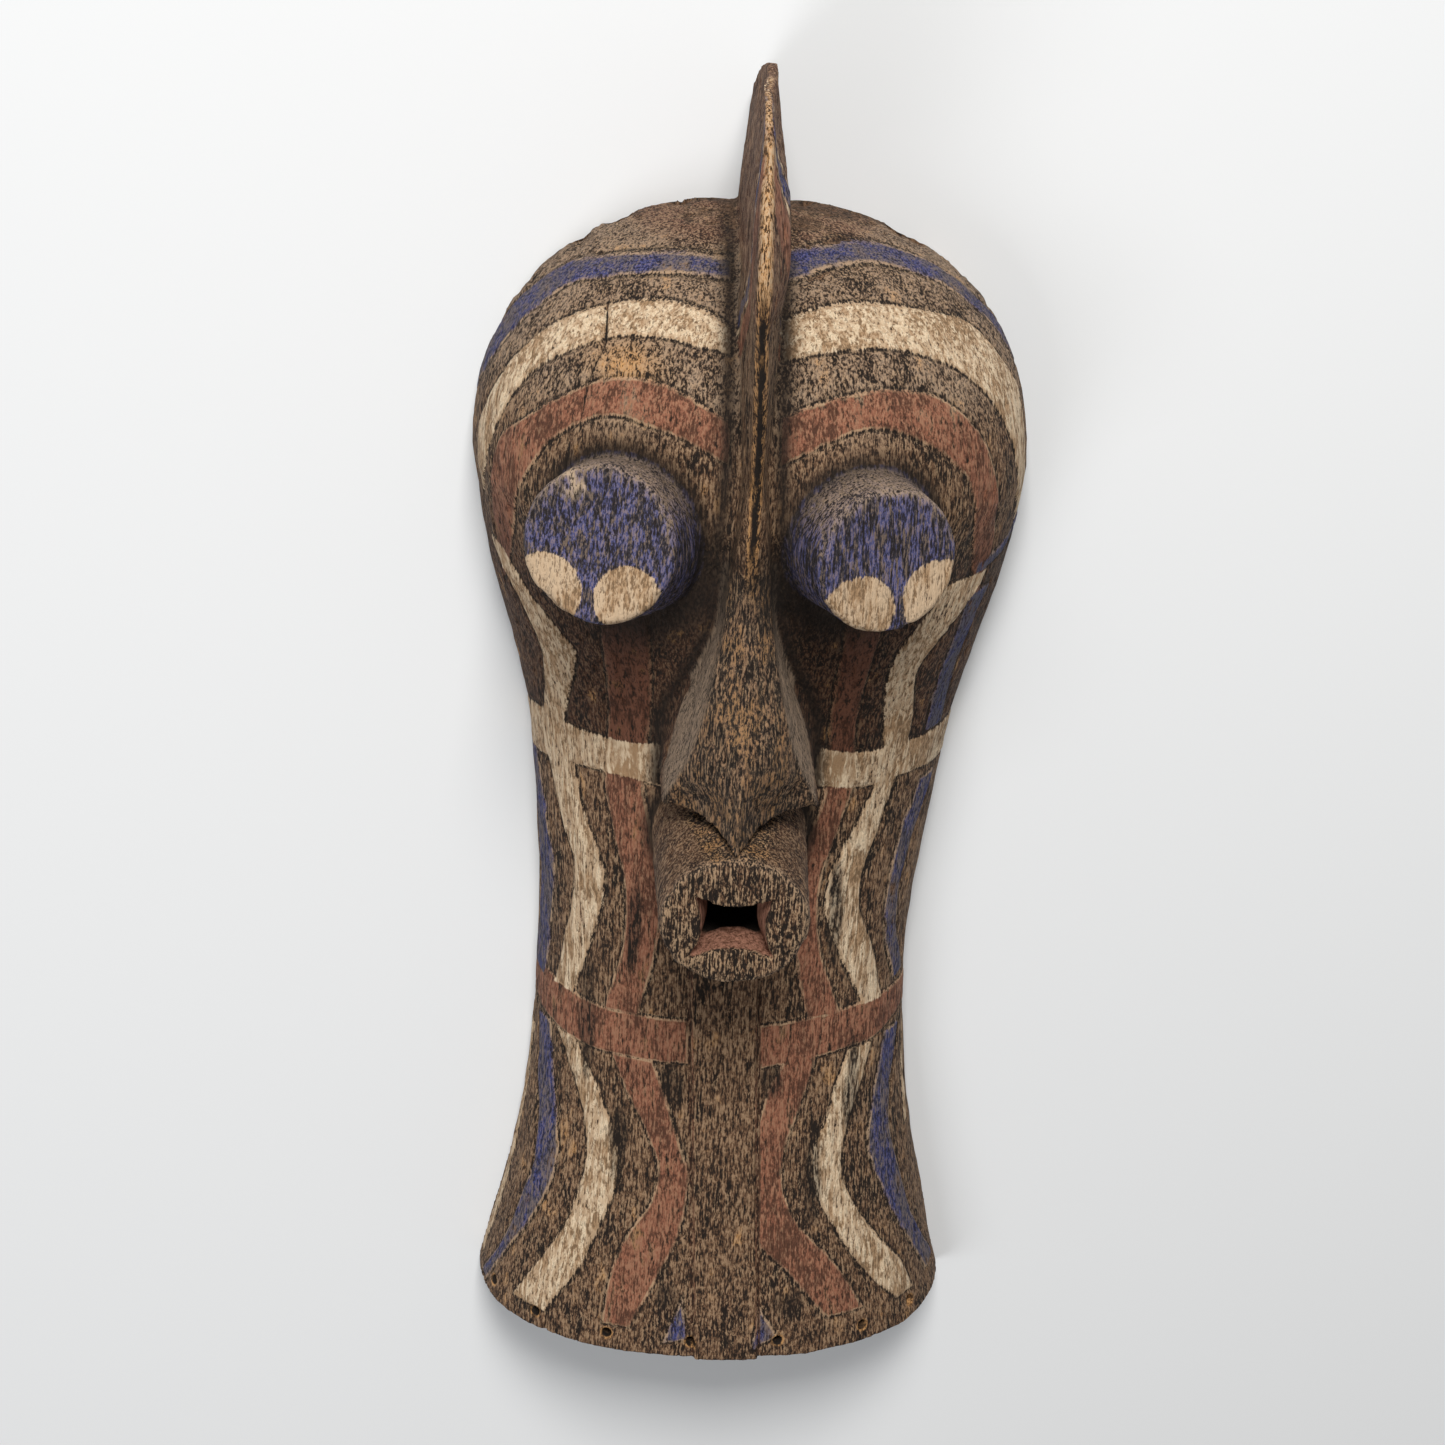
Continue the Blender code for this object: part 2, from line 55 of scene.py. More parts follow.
back = Vector((math.sin(VIEW_SIDE) * math.cos(VIEW_TILT), math.sin(VIEW_TILT),
               math.cos(VIEW_SIDE) * math.cos(VIEW_TILT)))
level = Vector((0.0, 1.0, 0.0)).cross(back).normalized()
upright = back.cross(level)
turned = Matrix.Rotation(VIEW_ROLL, 3, back)
camera = bpy.data.objects.new("camera", bpy.data.cameras.new("camera"))
camera.data.lens = LENS
camera.data.sensor_width = SENSOR_WIDTH
view = Matrix.Translation(VIEW_TARGET + VIEW_DISTANCE * back) @ (
    Matrix((turned @ level, turned @ upright, back)).transposed().to_4x4())
camera.matrix_world = view
scene.collection.objects.link(camera)
scene.camera = camera

# The room.
# A plain pale floor under the mask, and the soft light of a hall from above
# its crest, with a weaker fill from the foot.
FLOOR_SIZE = 12.0
FLOOR_COLOUR = (0.72, 0.75, 0.79, 1.0)
SKY_COLOUR = (1.0, 0.98, 0.95, 1.0)
SKY_STRENGTH = 0.22

bm = bmesh.new()
bmesh.ops.create_grid(bm, x_segments=1, y_segments=1, size=0.5 * FLOOR_SIZE)
bmesh.ops.translate(bm, verts=bm.verts, vec=(0.0, 0.0, -0.0004))
floor_mesh = bpy.data.meshes.new("floor")
bm.to_mesh(floor_mesh)
bm.free()
floor = bpy.data.objects.new("floor", floor_mesh)
scene.collection.objects.link(floor)
floor_paint = bpy.data.materials.new("floor_paint")
floor_paint.use_nodes = True
floor_shader = floor_paint.node_tree.nodes["Principled BSDF"]
floor_shader.inputs["Base Color"].default_value = FLOOR_COLOUR
floor_shader.inputs["Roughness"].default_value = 0.9
floor_mesh.materials.append(floor_paint)

sky = bpy.data.worlds.new("hall_light")
sky.use_nodes = True
sky.node_tree.nodes["Background"].inputs["Color"].default_value = SKY_COLOUR
sky.node_tree.nodes["Background"].inputs["Strength"].default_value = SKY_STRENGTH
scene.world = sky


def soft_light(name, place, size, watts, colour):
    """A square soft light at a place, aimed at the middle of the mask."""
    lamp = bpy.data.lights.new(name, "AREA")
    lamp.size = size
    lamp.energy = watts
    lamp.color = colour
    stand = bpy.data.objects.new(name, lamp)
    aim = (Vector((0.0, 0.0, 0.1)) - Vector(place)).to_track_quat("-Z", "Y")
    stand.matrix_world = Matrix.Translation(place) @ aim.to_matrix().to_4x4()
    scene.collection.objects.link(stand)


soft_light("key", (0.0, 3.2, 2.9), 1.4, 205.0, (1.0, 0.96, 0.90))
soft_light("fill", (-1.4, -0.9, 2.4), 1.2, 23.0, (1.0, 0.98, 0.96))

# The carving.
# The mask is one block of light dry wood, hollowed behind: a domed forehead
# with a crest fin, drum eyes, a long wedge nose, a pierced spout mouth and a
# flared neck. It is adzed and knife-cut, painted in bands, and much worn.

# The same outer form as the solid: its places along Y with the half-width and
# depth there, and the middle line, which leans a little to the right above.
FORM_PLACES = (-0.4725, -0.320, -0.185, -0.060, 0.035, 0.125, 0.195)
FORM_WIDTHS = (0.1765, 0.144, 0.1335, 0.140, 0.153, 0.175, 0.185)
FORM_DEPTHS = (0.125, 0.106, 0.101, 0.108, 0.116, 0.148, 0.170)
MIDDLE_PLACES = (-0.185, 0.035, 0.195, 0.3625)
MIDDLE_X = (-0.004, 0.001, 0.000, -0.002)
CENTRE_X = -0.004
CREST_LEAN = -0.0030
BROW_Y = 0.195
CROWN_Y = 0.3625
DOME_ROUNDNESS = 2.2
SQUARENESS = 2.3

# Grain of the mesh while it is cut, and the share of its facets that is kept
# once the cuts are in it.
VOXEL = 0.00145
KEEP = 0.156

LEFT_EYE = ((-0.0985, 0.1950, 0.196), -17.0, -13.0)
RIGHT_EYE = ((0.0790, 0.1885, 0.196), 19.0, -3.0)
SPOUT = ((-0.0068, -0.056, 0.215), 0.0, 5.0)


def carved_mesh():
    """The solid's mesh, merged, remeshed to an even grain and a little softened."""
    source = bpy.data.objects.new("carving_source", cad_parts["mask"].data.copy())
    scene.collection.objects.link(source)
    bm = bmesh.new()
    bm.from_mesh(source.data)
    bmesh.ops.remove_doubles(bm, verts=bm.verts, dist=0.00002)
    bm.to_mesh(source.data)
    bm.free()
    remesh = source.modifiers.new("even_grain", "REMESH")
    remesh.mode = "VOXEL"
    remesh.voxel_size = VOXEL
    soften = source.modifiers.new("soften", "SMOOTH")
    soften.factor = 0.5
    soften.iterations = 1
    made = bpy.data.meshes.new_from_object(source.evaluated_get(bpy.context.evaluated_depsgraph_get()))
    bpy.data.objects.remove(source)
    made.name = "mask_carving"
    return made


def points_of(mesh):
    flat = np.empty(len(mesh.vertices) * 3, np.float32)
    mesh.vertices.foreach_get("co", flat)
    return flat.reshape(-1, 3).astype(float)


def normals_of(mesh):
    flat = np.empty(len(mesh.vertices) * 3, np.float32)
    mesh.vertex_normals.foreach_get("vector", flat)
    return flat.reshape(-1, 3).astype(float)


def smooth_curve(places, values, at):
    """A smooth curve through a few control points, flat beyond its ends."""
    places = np.asarray(places, float)
    values = np.asarray(values, float)
    slope = np.gradient(values, places)
    at = np.clip(at, places[0], places[-1])
    i = np.clip(np.searchsorted(places, at) - 1, 0, len(places) - 2)
    h = places[i + 1] - places[i]
    t = (at - places[i]) / h
    rise = (1 + 2 * t) * (1 - t) ** 2 * values[i] + t * (1 - t) ** 2 * h * slope[i]
    fall = t * t * (3 - 2 * t) * values[i + 1] + t * t * (t - 1) * h * slope[i + 1]
    return rise + fall


def dome_share(y):
    """How far the dome has drawn in at a height, 1 at the brow and 0 at the crown."""
    u = np.clip((y - BROW_Y) / (CROWN_Y - BROW_Y), 0.0, 0.999)
    return (1.0 - u ** DOME_ROUNDNESS) ** (1.0 / DOME_ROUNDNESS)


def step(value, low, high):
    """A soft step from 0 to 1."""
    t = np.clip((value - low) / (high - low), 0.0, 1.0)
    return t * t * (3.0 - 2.0 * t)


def cloud(points, size, seed):
    """Smooth noise from 0 to 1 with lumps of a size, which may differ per axis."""
    cell = points / np.asarray(size, float)
    low = np.floor(cell).astype(np.int64)
    part = cell - low
    part = part * part * (3.0 - 2.0 * part)
    total = np.zeros(len(points))
    for corner in range(8):
        bits = np.array([corner & 1, corner >> 1 & 1, corner >> 2 & 1])
        key = low + bits
        mixed = key[:, 0] * 73856093 ^ key[:, 1] * 19349663 ^ key[:, 2] * 83492791 ^ seed * 2654435761
        mixed = (mixed ^ (mixed >> 13)) * 1274126177 & 0xFFFFFFFF
        value = (mixed ^ (mixed >> 16)) % 65536 / 65535.0
        weight = np.prod(np.where(bits == 1, part, 1.0 - part), axis=1)
        total += weight * value
    return total


class Places:
    """Where each point of the carving lies: angle round the form, height, drums and so on."""

    def __init__(self, points, normals):
        self.points = points
        x, self.y, self.z = points.T
        self.x = x - smooth_curve(MIDDLE_PLACES, MIDDLE_X, self.y)
        self.round = np.hypot(self.x, self.z)
        self.angle = np.degrees(np.arctan2(self.x, self.z))
        width = smooth_curve(FORM_PLACES, FORM_WIDTHS, self.y) * dome_share(self.y)
        depth = smooth_curve(FORM_PLACES, FORM_DEPTHS, self.y) * dome_share(self.y)
        form = (np.abs(self.x) / width) ** SQUARENESS + (np.clip(self.z, 0.0, 1.0) / depth) ** SQUARENESS
        self.form = form ** (1.0 / SQUARENESS)
        self.hollow = self.form < 0.955
        self.left_eye = drum_places(points, *LEFT_EYE)
        self.right_eye = drum_places(points, *RIGHT_EYE)
        self.spout = drum_places(points, *SPOUT)
        lean = CREST_LEAN * step(self.y, 0.235, 0.385) * step(self.z, 0.17, 0.24)
        self.aside = x - CENTRE_X - lean
        self.blade = np.abs(self.aside)
        self.normals = normals


def drum_places(points, centre, outward, down):
    """A drum's own axes: across and up on its face, and height along its axis."""
    turn = Matrix.Rotation(math.radians(outward), 3, "Y") @ Matrix.Rotation(math.radians(down), 3, "X")
    local = (points - np.array(centre)) @ np.array(turn)
    return local


# The painted bands. Angles are degrees round the form from its middle line,
# heights are millimetres from the mask's middle. A band that runs across has
# an upper and a lower edge, and one that runs down has a left and a right.
# Most of the edges are pixels of the photograph, read off in its square
# frame. The rest are listed angles and heights.
PHOTO_PIXELS = 1445
BROW_LEFT_BLUE_TOP = ((527, 290), (562, 266), (603, 255), (664, 250))
BROW_RIGHT_BLUE_TOP = ((815, 248), (861, 242), (895, 248), (930, 263))
BROW_LEFT_BLUE_FOOT = ((493, 355), (531, 311), (562, 290), (609, 276), (664, 272))
BROW_RIGHT_BLUE_FOOT = ((842, 266), (895, 267), (941, 283), (980, 311))
CHEEK_LEFT_BLUE_RIGHT = ((547, 811), (554, 859), (552, 920))
NECK_LEFT_BLUE_LEFT = ((538, 1078), (539, 1122), (537, 1148), (524, 1192), (504, 1240), (483, 1268))
NECK_LEFT_BLUE_RIGHT = ((550, 1020), (552, 1083), (557, 1122), (558, 1147), (550, 1185), (533, 1215))
NECK_RIGHT_BLUE_LEFT = ((884, 1032), (872, 1103), (866, 1141), (884, 1189), (903, 1227))
NECK_RIGHT_BLUE_RIGHT = ((891, 1074), (888, 1122), (897, 1166), (916, 1223))
BROW_LEFT_WHITE_TOP = ((486, 404), (505, 368), (531, 341), (562, 321), (603, 306), (664, 301), (705, 311),
    (731, 327))
BROW_RIGHT_WHITE_TOP = ((784, 320), (815, 311), (861, 304), (907, 307), (941, 313), (975, 327))
BROW_LEFT_WHITE_FOOT = ((484, 466), (495, 431), (511, 394), (531, 372), (562, 353), (603, 338), (664, 337),
    (705, 347))
BROW_RIGHT_WHITE_FOOT = ((785, 360), (815, 354), (861, 349), (900, 349), (930, 357), (964, 373))
CHEEK_LEFT_ZIGZAG_LEFT = ((510, 579), (525, 607), (540, 646), (544, 678))
CHEEK_LEFT_ZIGZAG_RIGHT = ((560, 632), (575, 650), (575, 669), (567, 703))
CHEEK_LEFT_CROSS_TOP = ((525, 691), (548, 710), (576, 727), (615, 739))
CHEEK_LEFT_CROSS_FOOT = ((576, 763), (615, 774))
CHEEK_LEFT_LOW_ZIGZAG_LEFT = ((557, 792), (565, 827), (575, 859), (574, 897), (566, 940))
CHEEK_LEFT_LOW_ZIGZAG_RIGHT = ((584, 807), (594, 840), (603, 872), (601, 903), (591, 940))
NECK_LEFT_WHITE_LEFT = ((573, 1074), (585, 1122), (587, 1150), (579, 1189), (562, 1227), (550, 1246),
    (534, 1268))
NECK_LEFT_WHITE_RIGHT = ((592, 1074), (608, 1116), (617, 1147), (619, 1170), (612, 1198), (594, 1235),
    (578, 1268), (559, 1294))
CHEEK_RIGHT_ZIGZAG_LEFT = ((906, 642), (889, 669), (885, 720))
CHEEK_RIGHT_ZIGZAG_RIGHT = ((966, 607), (941, 636), (922, 663), (912, 720))
CHEEK_RIGHT_CROSS_TOP = ((862, 752), (905, 742), (944, 721))
CHEEK_RIGHT_CROSS_FOOT = ((867, 785), (905, 773), (939, 754))
CHEEK_RIGHT_LOW_ZIGZAG_LEFT = ((852, 834), (830, 882), (828, 902), (842, 955))
CHEEK_RIGHT_LOW_ZIGZAG_RIGHT = ((876, 834), (862, 878), (859, 902), (874, 950))
NECK_RIGHT_WHITE_LEFT = ((849, 1049), (838, 1082), (826, 1122), (813, 1150), (809, 1175), (819, 1198),
    (842, 1240), (859, 1265))
NECK_RIGHT_WHITE_RIGHT = ((861, 1082), (849, 1122), (842, 1156), (842, 1175), (853, 1198), (880, 1240),
    (904, 1262))
BROW_LEFT_RED_TOP = ((493, 500), (499, 439), (521, 421), (552, 400), (603, 381), (633, 378), (664, 386),
    (705, 406))
BROW_LEFT_RED_FOOT = ((521, 486), (531, 466), (546, 447), (562, 431), (603, 415), (654, 427), (684, 441))
BROW_RIGHT_RED_TOP = ((816, 405), (855, 395), (903, 391), (950, 405), (982, 437), (994, 476), (997, 516))
BROW_RIGHT_RED_FOOT = ((816, 449), (855, 433), (887, 431), (922, 441), (950, 460), (970, 488), (976, 536))
LEFT_RED_IN_LEFT = ((605, 780), (615, 835), (625, 880), (623, 940))
LEFT_RED_IN_RIGHT = ((642, 780),)
LEFT_RED_IN_RIGHT_2 = ((659, 940),)
LEFT_RED_CROSS_TOP = ((558, 978), (604, 1007), (633, 1014))
LEFT_RED_CROSS_FOOT = ((543, 1003), (577, 1038), (633, 1057))
RIGHT_RED_CROSS_TOP = ((796, 1022), (824, 1016), (853, 1005), (882, 992))
RIGHT_RED_CROSS_FOOT = ((786, 1064), (815, 1058), (843, 1049), (872, 1036), (891, 1016))
NECK_LEFT_RED_LEFT = ((629, 1097), (648, 1135), (657, 1166), (648, 1204), (629, 1232), (612, 1272))
NECK_LEFT_RED_RIGHT = ((667, 1103), (678, 1141))
NECK_LEFT_RED_RIGHT_2 = ((674, 1243), (658, 1275))
NECK_RIGHT_RED_LEFT = ((761, 1112),)
NECK_RIGHT_RED_LEFT_2 = ((759, 1179), (759, 1246), (783, 1268))
NECK_RIGHT_RED_RIGHT = ((799, 1112), (786, 1150), (782, 1170), (796, 1224), (828, 1256), (863, 1308))

def seen(pixels):
    """Where pixels of the photograph fall on the solid, in whole degrees and millimetres."""
    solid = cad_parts["mask"]
    to_solid = solid.matrix_world.inverted()
    start = to_solid @ view.translation
    places = []
    for column, row in pixels:
        aim = Vector((column / PHOTO_PIXELS - 0.5, 0.5 - row / PHOTO_PIXELS, -LENS / SENSOR_WIDTH))
        aim = (to_solid.to_3x3() @ view.to_3x3() @ aim).normalized()
        found, place = solid.ray_cast(start, aim)[:2]
        if not found:
            place = solid.closest_point_on_mesh(start - aim * start.z / aim.z)[1]
        place = solid.matrix_world @ place
        middle = smooth_curve(MIDDLE_PLACES, MIDDLE_X, place.y)
        angle = math.degrees(math.atan2(place.x - middle, place.z))
        places.append((round(angle), round(place.y * 1000.0)))
    return places


def across(at, upper, lower, ends):
    """Signed distance in mm inside a band that runs across the face."""
    y = at.y * 1000.0
    spread = np.radians(1.0) * at.round * 1000.0
    sides = []
    for edge, sign in ((upper, 1.0), (lower, -1.0)):
        angles, heights = zip(*edge)
        line = smooth_curve(angles, heights, at.angle)
        after = smooth_curve(angles, heights, at.angle + 0.5)
        before = smooth_curve(angles, heights, at.angle - 0.5)
        slope = (after - before) / spread
        sides.append(sign * (line - y) / np.sqrt(1.0 + slope * slope))
    sides.append((at.angle - ends[0]) * spread)
    sides.append((ends[1] - at.angle) * spread)
    return np.minimum.reduce(sides)


def down(at, left, right):
    """Signed distance in mm inside a band that runs down the face."""
    y = at.y * 1000.0
    spread = np.radians(1.0) * at.round * 1000.0
    sides = []
    for edge, sign in ((left, 1.0), (right, -1.0)):
        heights, angles = zip(*sorted((height, angle) for angle, height in edge))
        line = smooth_curve(heights, angles, y)
        after = smooth_curve(heights, angles, y + 1.0)
        before = smooth_curve(heights, angles, y - 1.0)
        slope = (after - before) * 0.5 * spread
        sides.append(sign * (at.angle - line) * spread / np.sqrt(1.0 + slope * slope))
        sides.append(y - heights[0])
        sides.append(heights[-1] - y)
    return np.minimum.reduce(sides)


def union(*bands):
    return np.maximum.reduce(bands)


def blue_bands(at):
    return union(
        across(
            at,
            [(-88, 250), *seen(BROW_LEFT_BLUE_TOP), (-12, 345), *seen(BROW_RIGHT_BLUE_TOP), (80, 305),
             (88, 270)],
            [(-88, 228), *seen(BROW_LEFT_BLUE_FOOT), (8, 335), *seen(BROW_RIGHT_BLUE_FOOT), (84, 262)],
            (-88, 88),
        ),
        down(
            at,
            [(-88, -21), (-85, -60), (-80, -100), (-83, -170), (-87, -200)],
            [(-75, -21), *seen(CHEEK_LEFT_BLUE_RIGHT), (-73, -200)],
        ),
        down(
            at,
            [(-76, -232), *seen(NECK_LEFT_BLUE_LEFT)],
            [*seen(NECK_LEFT_BLUE_RIGHT), (-72, -439), (-77, -467)],
        ),
        down(
            at,
            [(56, 126), (57, 95), (57, 73), (60, 16)],
            [(66, 126), (63, 95), (63, 73), (68, 16)],
        ),
        down(
            at,
            [(63, -24), (58, -70), (57, -100), (58, -130), (67, -190)],
            [(72, -24), (66, -70), (63, -100), (64, -130), (75, -190)],
        ),
        down(
            at,
            [*seen(NECK_RIGHT_BLUE_LEFT), (76, -450)],
            [(73, -231), *seen(NECK_RIGHT_BLUE_RIGHT), (84, -450)],
        ),
        across(
            at,
            [(56, 150), (70, 158), (88, 168)],
            [(56, 142), (70, 150), (88, 160)],
            (56, 88),
        ),
    )


def white_bands(at):
    return union(
        across(
            at,
            [(-84, 190), (-76, 215), *seen(BROW_LEFT_WHITE_TOP), *seen(BROW_RIGHT_WHITE_TOP), (71, 270),
             (78, 240), (88, 187)],
            [(-84, 150), (-72, 180), *seen(BROW_LEFT_WHITE_FOOT), *seen(BROW_RIGHT_WHITE_FOOT), (58, 258),
             (62, 236), (66, 204), (72, 168), (88, 140)],
            (-74, 74),
        ),
        down(
            at,
            [(-73, 145), *seen(CHEEK_LEFT_ZIGZAG_LEFT), (-67, 15)],
            [(-64, 145), (-58, 120), *seen(CHEEK_LEFT_ZIGZAG_RIGHT), (-58, 15)],
        ),
        across(
            at,
            [*seen(CHEEK_LEFT_CROSS_TOP), (-24, 20)],
            [(-90, -26), (-70, -18), *seen(CHEEK_LEFT_CROSS_FOOT), (-24, -14)],
            (-90, -24),
        ),
        down(
            at,
            [(-68, -8), *seen(CHEEK_LEFT_LOW_ZIGZAG_LEFT), (-66, -196)],
            [(-56, -8), *seen(CHEEK_LEFT_LOW_ZIGZAG_RIGHT), (-57, -196)],
        ),
        down(
            at,
            [(-64, -232), *seen(NECK_LEFT_WHITE_LEFT), (-64, -456)],
            [(-56, -232), *seen(NECK_LEFT_WHITE_RIGHT), (-53, -456)],
        ),
        down(
            at,
            [(-89, -255), (-87, -315), (-87, -387), (-89, -459)],
            [(-83, -255), (-82, -315), (-82, -387), (-85, -459)],
        ),
        down(
            at,
            [(47, 142), (43, 120), *seen(CHEEK_RIGHT_ZIGZAG_LEFT), (45, 10)],
            [(61, 142), *seen(CHEEK_RIGHT_ZIGZAG_RIGHT), (54, 10)],
        ),
        across(
            at,
            [(24, 20), *seen(CHEEK_RIGHT_CROSS_TOP), (90, 8)],
            [(24, -10), *seen(CHEEK_RIGHT_CROSS_FOOT), (90, -24)],
            (24, 90),
        ),
        down(
            at,
            [(46, -10), *seen(CHEEK_RIGHT_LOW_ZIGZAG_LEFT), (53, -198)],
            [(52, -10), *seen(CHEEK_RIGHT_LOW_ZIGZAG_RIGHT), (61, -198)],
        ),
        down(
            at,
            [*seen(NECK_RIGHT_WHITE_LEFT), (60, -450)],
            [(57, -232), *seen(NECK_RIGHT_WHITE_RIGHT), (67, -450)],
        ),
        down(
            at,
            [(78, -240), (75, -322)],
            [(81, -240), (78, -322)],
        ),
    )


def red_bands(at):
    return union(
        across(
            at,
            [(-75, 140), *seen(BROW_LEFT_RED_TOP), (-6, 261)],
            [(-75, 100), (-60, 150), *seen(BROW_LEFT_RED_FOOT), (-6, 236)],
            (-68, -3),
        ),
        across(
            at,
            [(4, 265), *seen(BROW_RIGHT_RED_TOP), (66, 130)],
            [(4, 238), *seen(BROW_RIGHT_RED_FOOT), (58, 120)],
            (3, 60),
        ),
        down(
            at,
            [(-37, 132), (-42, 40), *seen(LEFT_RED_IN_LEFT), (-45, -199)],
            [(-25, 132), (-30, 40), *seen(LEFT_RED_IN_RIGHT), (-30, -52), (-27, -87),
             *seen(LEFT_RED_IN_RIGHT_2), (-33, -199)],
        ),
        down(
            at,
            [(23, 126), (26, 40), (28, -17), (24, -58), (22, -92), (25, -141), (32, -200)],
            [(32, 126), (34, 40), (37, -17), (33, -58), (31, -92), (34, -141), (44, -200)],
        ),
        across(
            at,
            [(-90, -194), *seen(LEFT_RED_CROSS_TOP), (-13, -199)],
            [(-90, -222), *seen(LEFT_RED_CROSS_FOOT), (-13, -234)],
            (-90, -14),
        ),
        across(
            at,
            [(9, -203), *seen(RIGHT_RED_CROSS_TOP), (90, -200)],
            [(9, -239), *seen(RIGHT_RED_CROSS_FOOT), (90, -218)],
            (10, 90),
        ),
        down(
            at,
            [(-42, -234), *seen(NECK_LEFT_RED_LEFT), (-36, -452)],
            [(-27, -234), *seen(NECK_LEFT_RED_RIGHT), (-12, -320), (-12, -349),
             *seen(NECK_LEFT_RED_RIGHT_2), (-28, -452)],
        ),
        down(
            at,
            [(24, -232), *seen(NECK_RIGHT_RED_LEFT), (14, -304), *seen(NECK_RIGHT_RED_LEFT_2), (37, -445)],
            [(36, -232), *seen(NECK_RIGHT_RED_RIGHT)],
        ),
    )


def triangle(at, corners):
    """Signed distance in mm inside a triangle given by angle and height."""
    across_mm = np.radians(at.angle) * at.round * 1000.0
    y = at.y * 1000.0
    flat = [(np.radians(angle) * 112.0, height) for angle, height in corners]
    sides = []
    for (x0, y0), (x1, y1) in zip(flat, flat[1:] + flat[:1]):
        long = math.hypot(x1 - x0, y1 - y0)
        sides.append(((x1 - x0) * (y - y0) - (y1 - y0) * (across_mm - x0)) / long)
    return np.minimum.reduce(sides)


# Where the added forms begin. The bands on the face stop short of each. The
# blade of the nose and crest has a half-width at its root and at its front.
BLADE_PLACES = (0.0045, 0.050, 0.090, 0.126, 0.160, 0.235)
BLADE_ROOTS = (0.0525, 0.0490, 0.0328, 0.0222, 0.0205, 0.0162)
BLADE_FRONTS = (0.0509, 0.0330, 0.0236, 0.0172, 0.0140, 0.0050)
NOSE_TOP = 0.160
NOSE_FOOT = -0.012
STRIP_PLACES = (-0.4725, -0.118)
STRIP_X = (0.0060, -0.0075)
STRIP_HALF = 0.0240

# How far each drum's side reaches from its axis with its flare, and where the
# worn rim of its face runs.
LEFT_DRUM_RADIUS = 0.0540
RIGHT_DRUM_RADIUS = 0.0510
SPOUT_DRUM_RADIUS = 0.0530
LEFT_RIM_RADIUS = 0.0490
RIGHT_RIM_RADIUS = 0.0458
SPOUT_RIM_RADIUS = 0.0488

# The eyes' half-moons: two cream discs at the foot of each blue face, in
# millimetres from the middle of the face.
LEFT_MOONS = ((-32.0, -32.5, 24.0), (21.5, -32.0, 21.8))
RIGHT_MOONS = ((-18.5, -30.5, 23.5), (34.5, -26.5, 25.0))

# The blade's own height along its length, for the stripes on the crest's
# sides, and the rounded fall of the crest past its shoulder.
RIDGE_PLACES = (-0.006, 0.050, 0.090, 0.126, 0.160, 0.235, 0.325, 0.385, 0.448)
RIDGE_HEIGHTS = (0.222, 0.211, 0.200, 0.193, 0.188, 0.204, 0.234, 0.246, 0.226)
CREST_TIP_Y = 0.4725
CREST_FALL = 0.063

# The crest's stripes cross its sides on a slant: colour, and where each starts
# and ends along the ridge, in mm from the mask's middle.
STRIPE_SLANT = 1.45
CREST_STRIPES = (
    ("white", 447.5, 452.5),
    ("white", 473.5, 477.0),
    ("blue", 455.0, 471.5),
    ("red", 412.0, 443.0),
)


def moons(local, drum, discs):
    """Signed distance in mm inside the half-moons painted on an eye's face."""
    across_mm, up_mm, out_mm = local.T * 1000.0
    inside = [radius - np.hypot(across_mm - x, up_mm - y) for x, y, radius in discs]
    return np.minimum.reduce([union(*inside), drum - 1.0, out_mm + 5.0])


def rim_of(local, radius, drum):
    """How near a point is to the worn rim of a drum's face."""
    edge = np.hypot(np.hypot(local[:, 0], local[:, 1]) - radius, local[:, 2] + 0.0015)
    return np.exp(-(edge / 0.0042) ** 2) * (drum > -5.0)


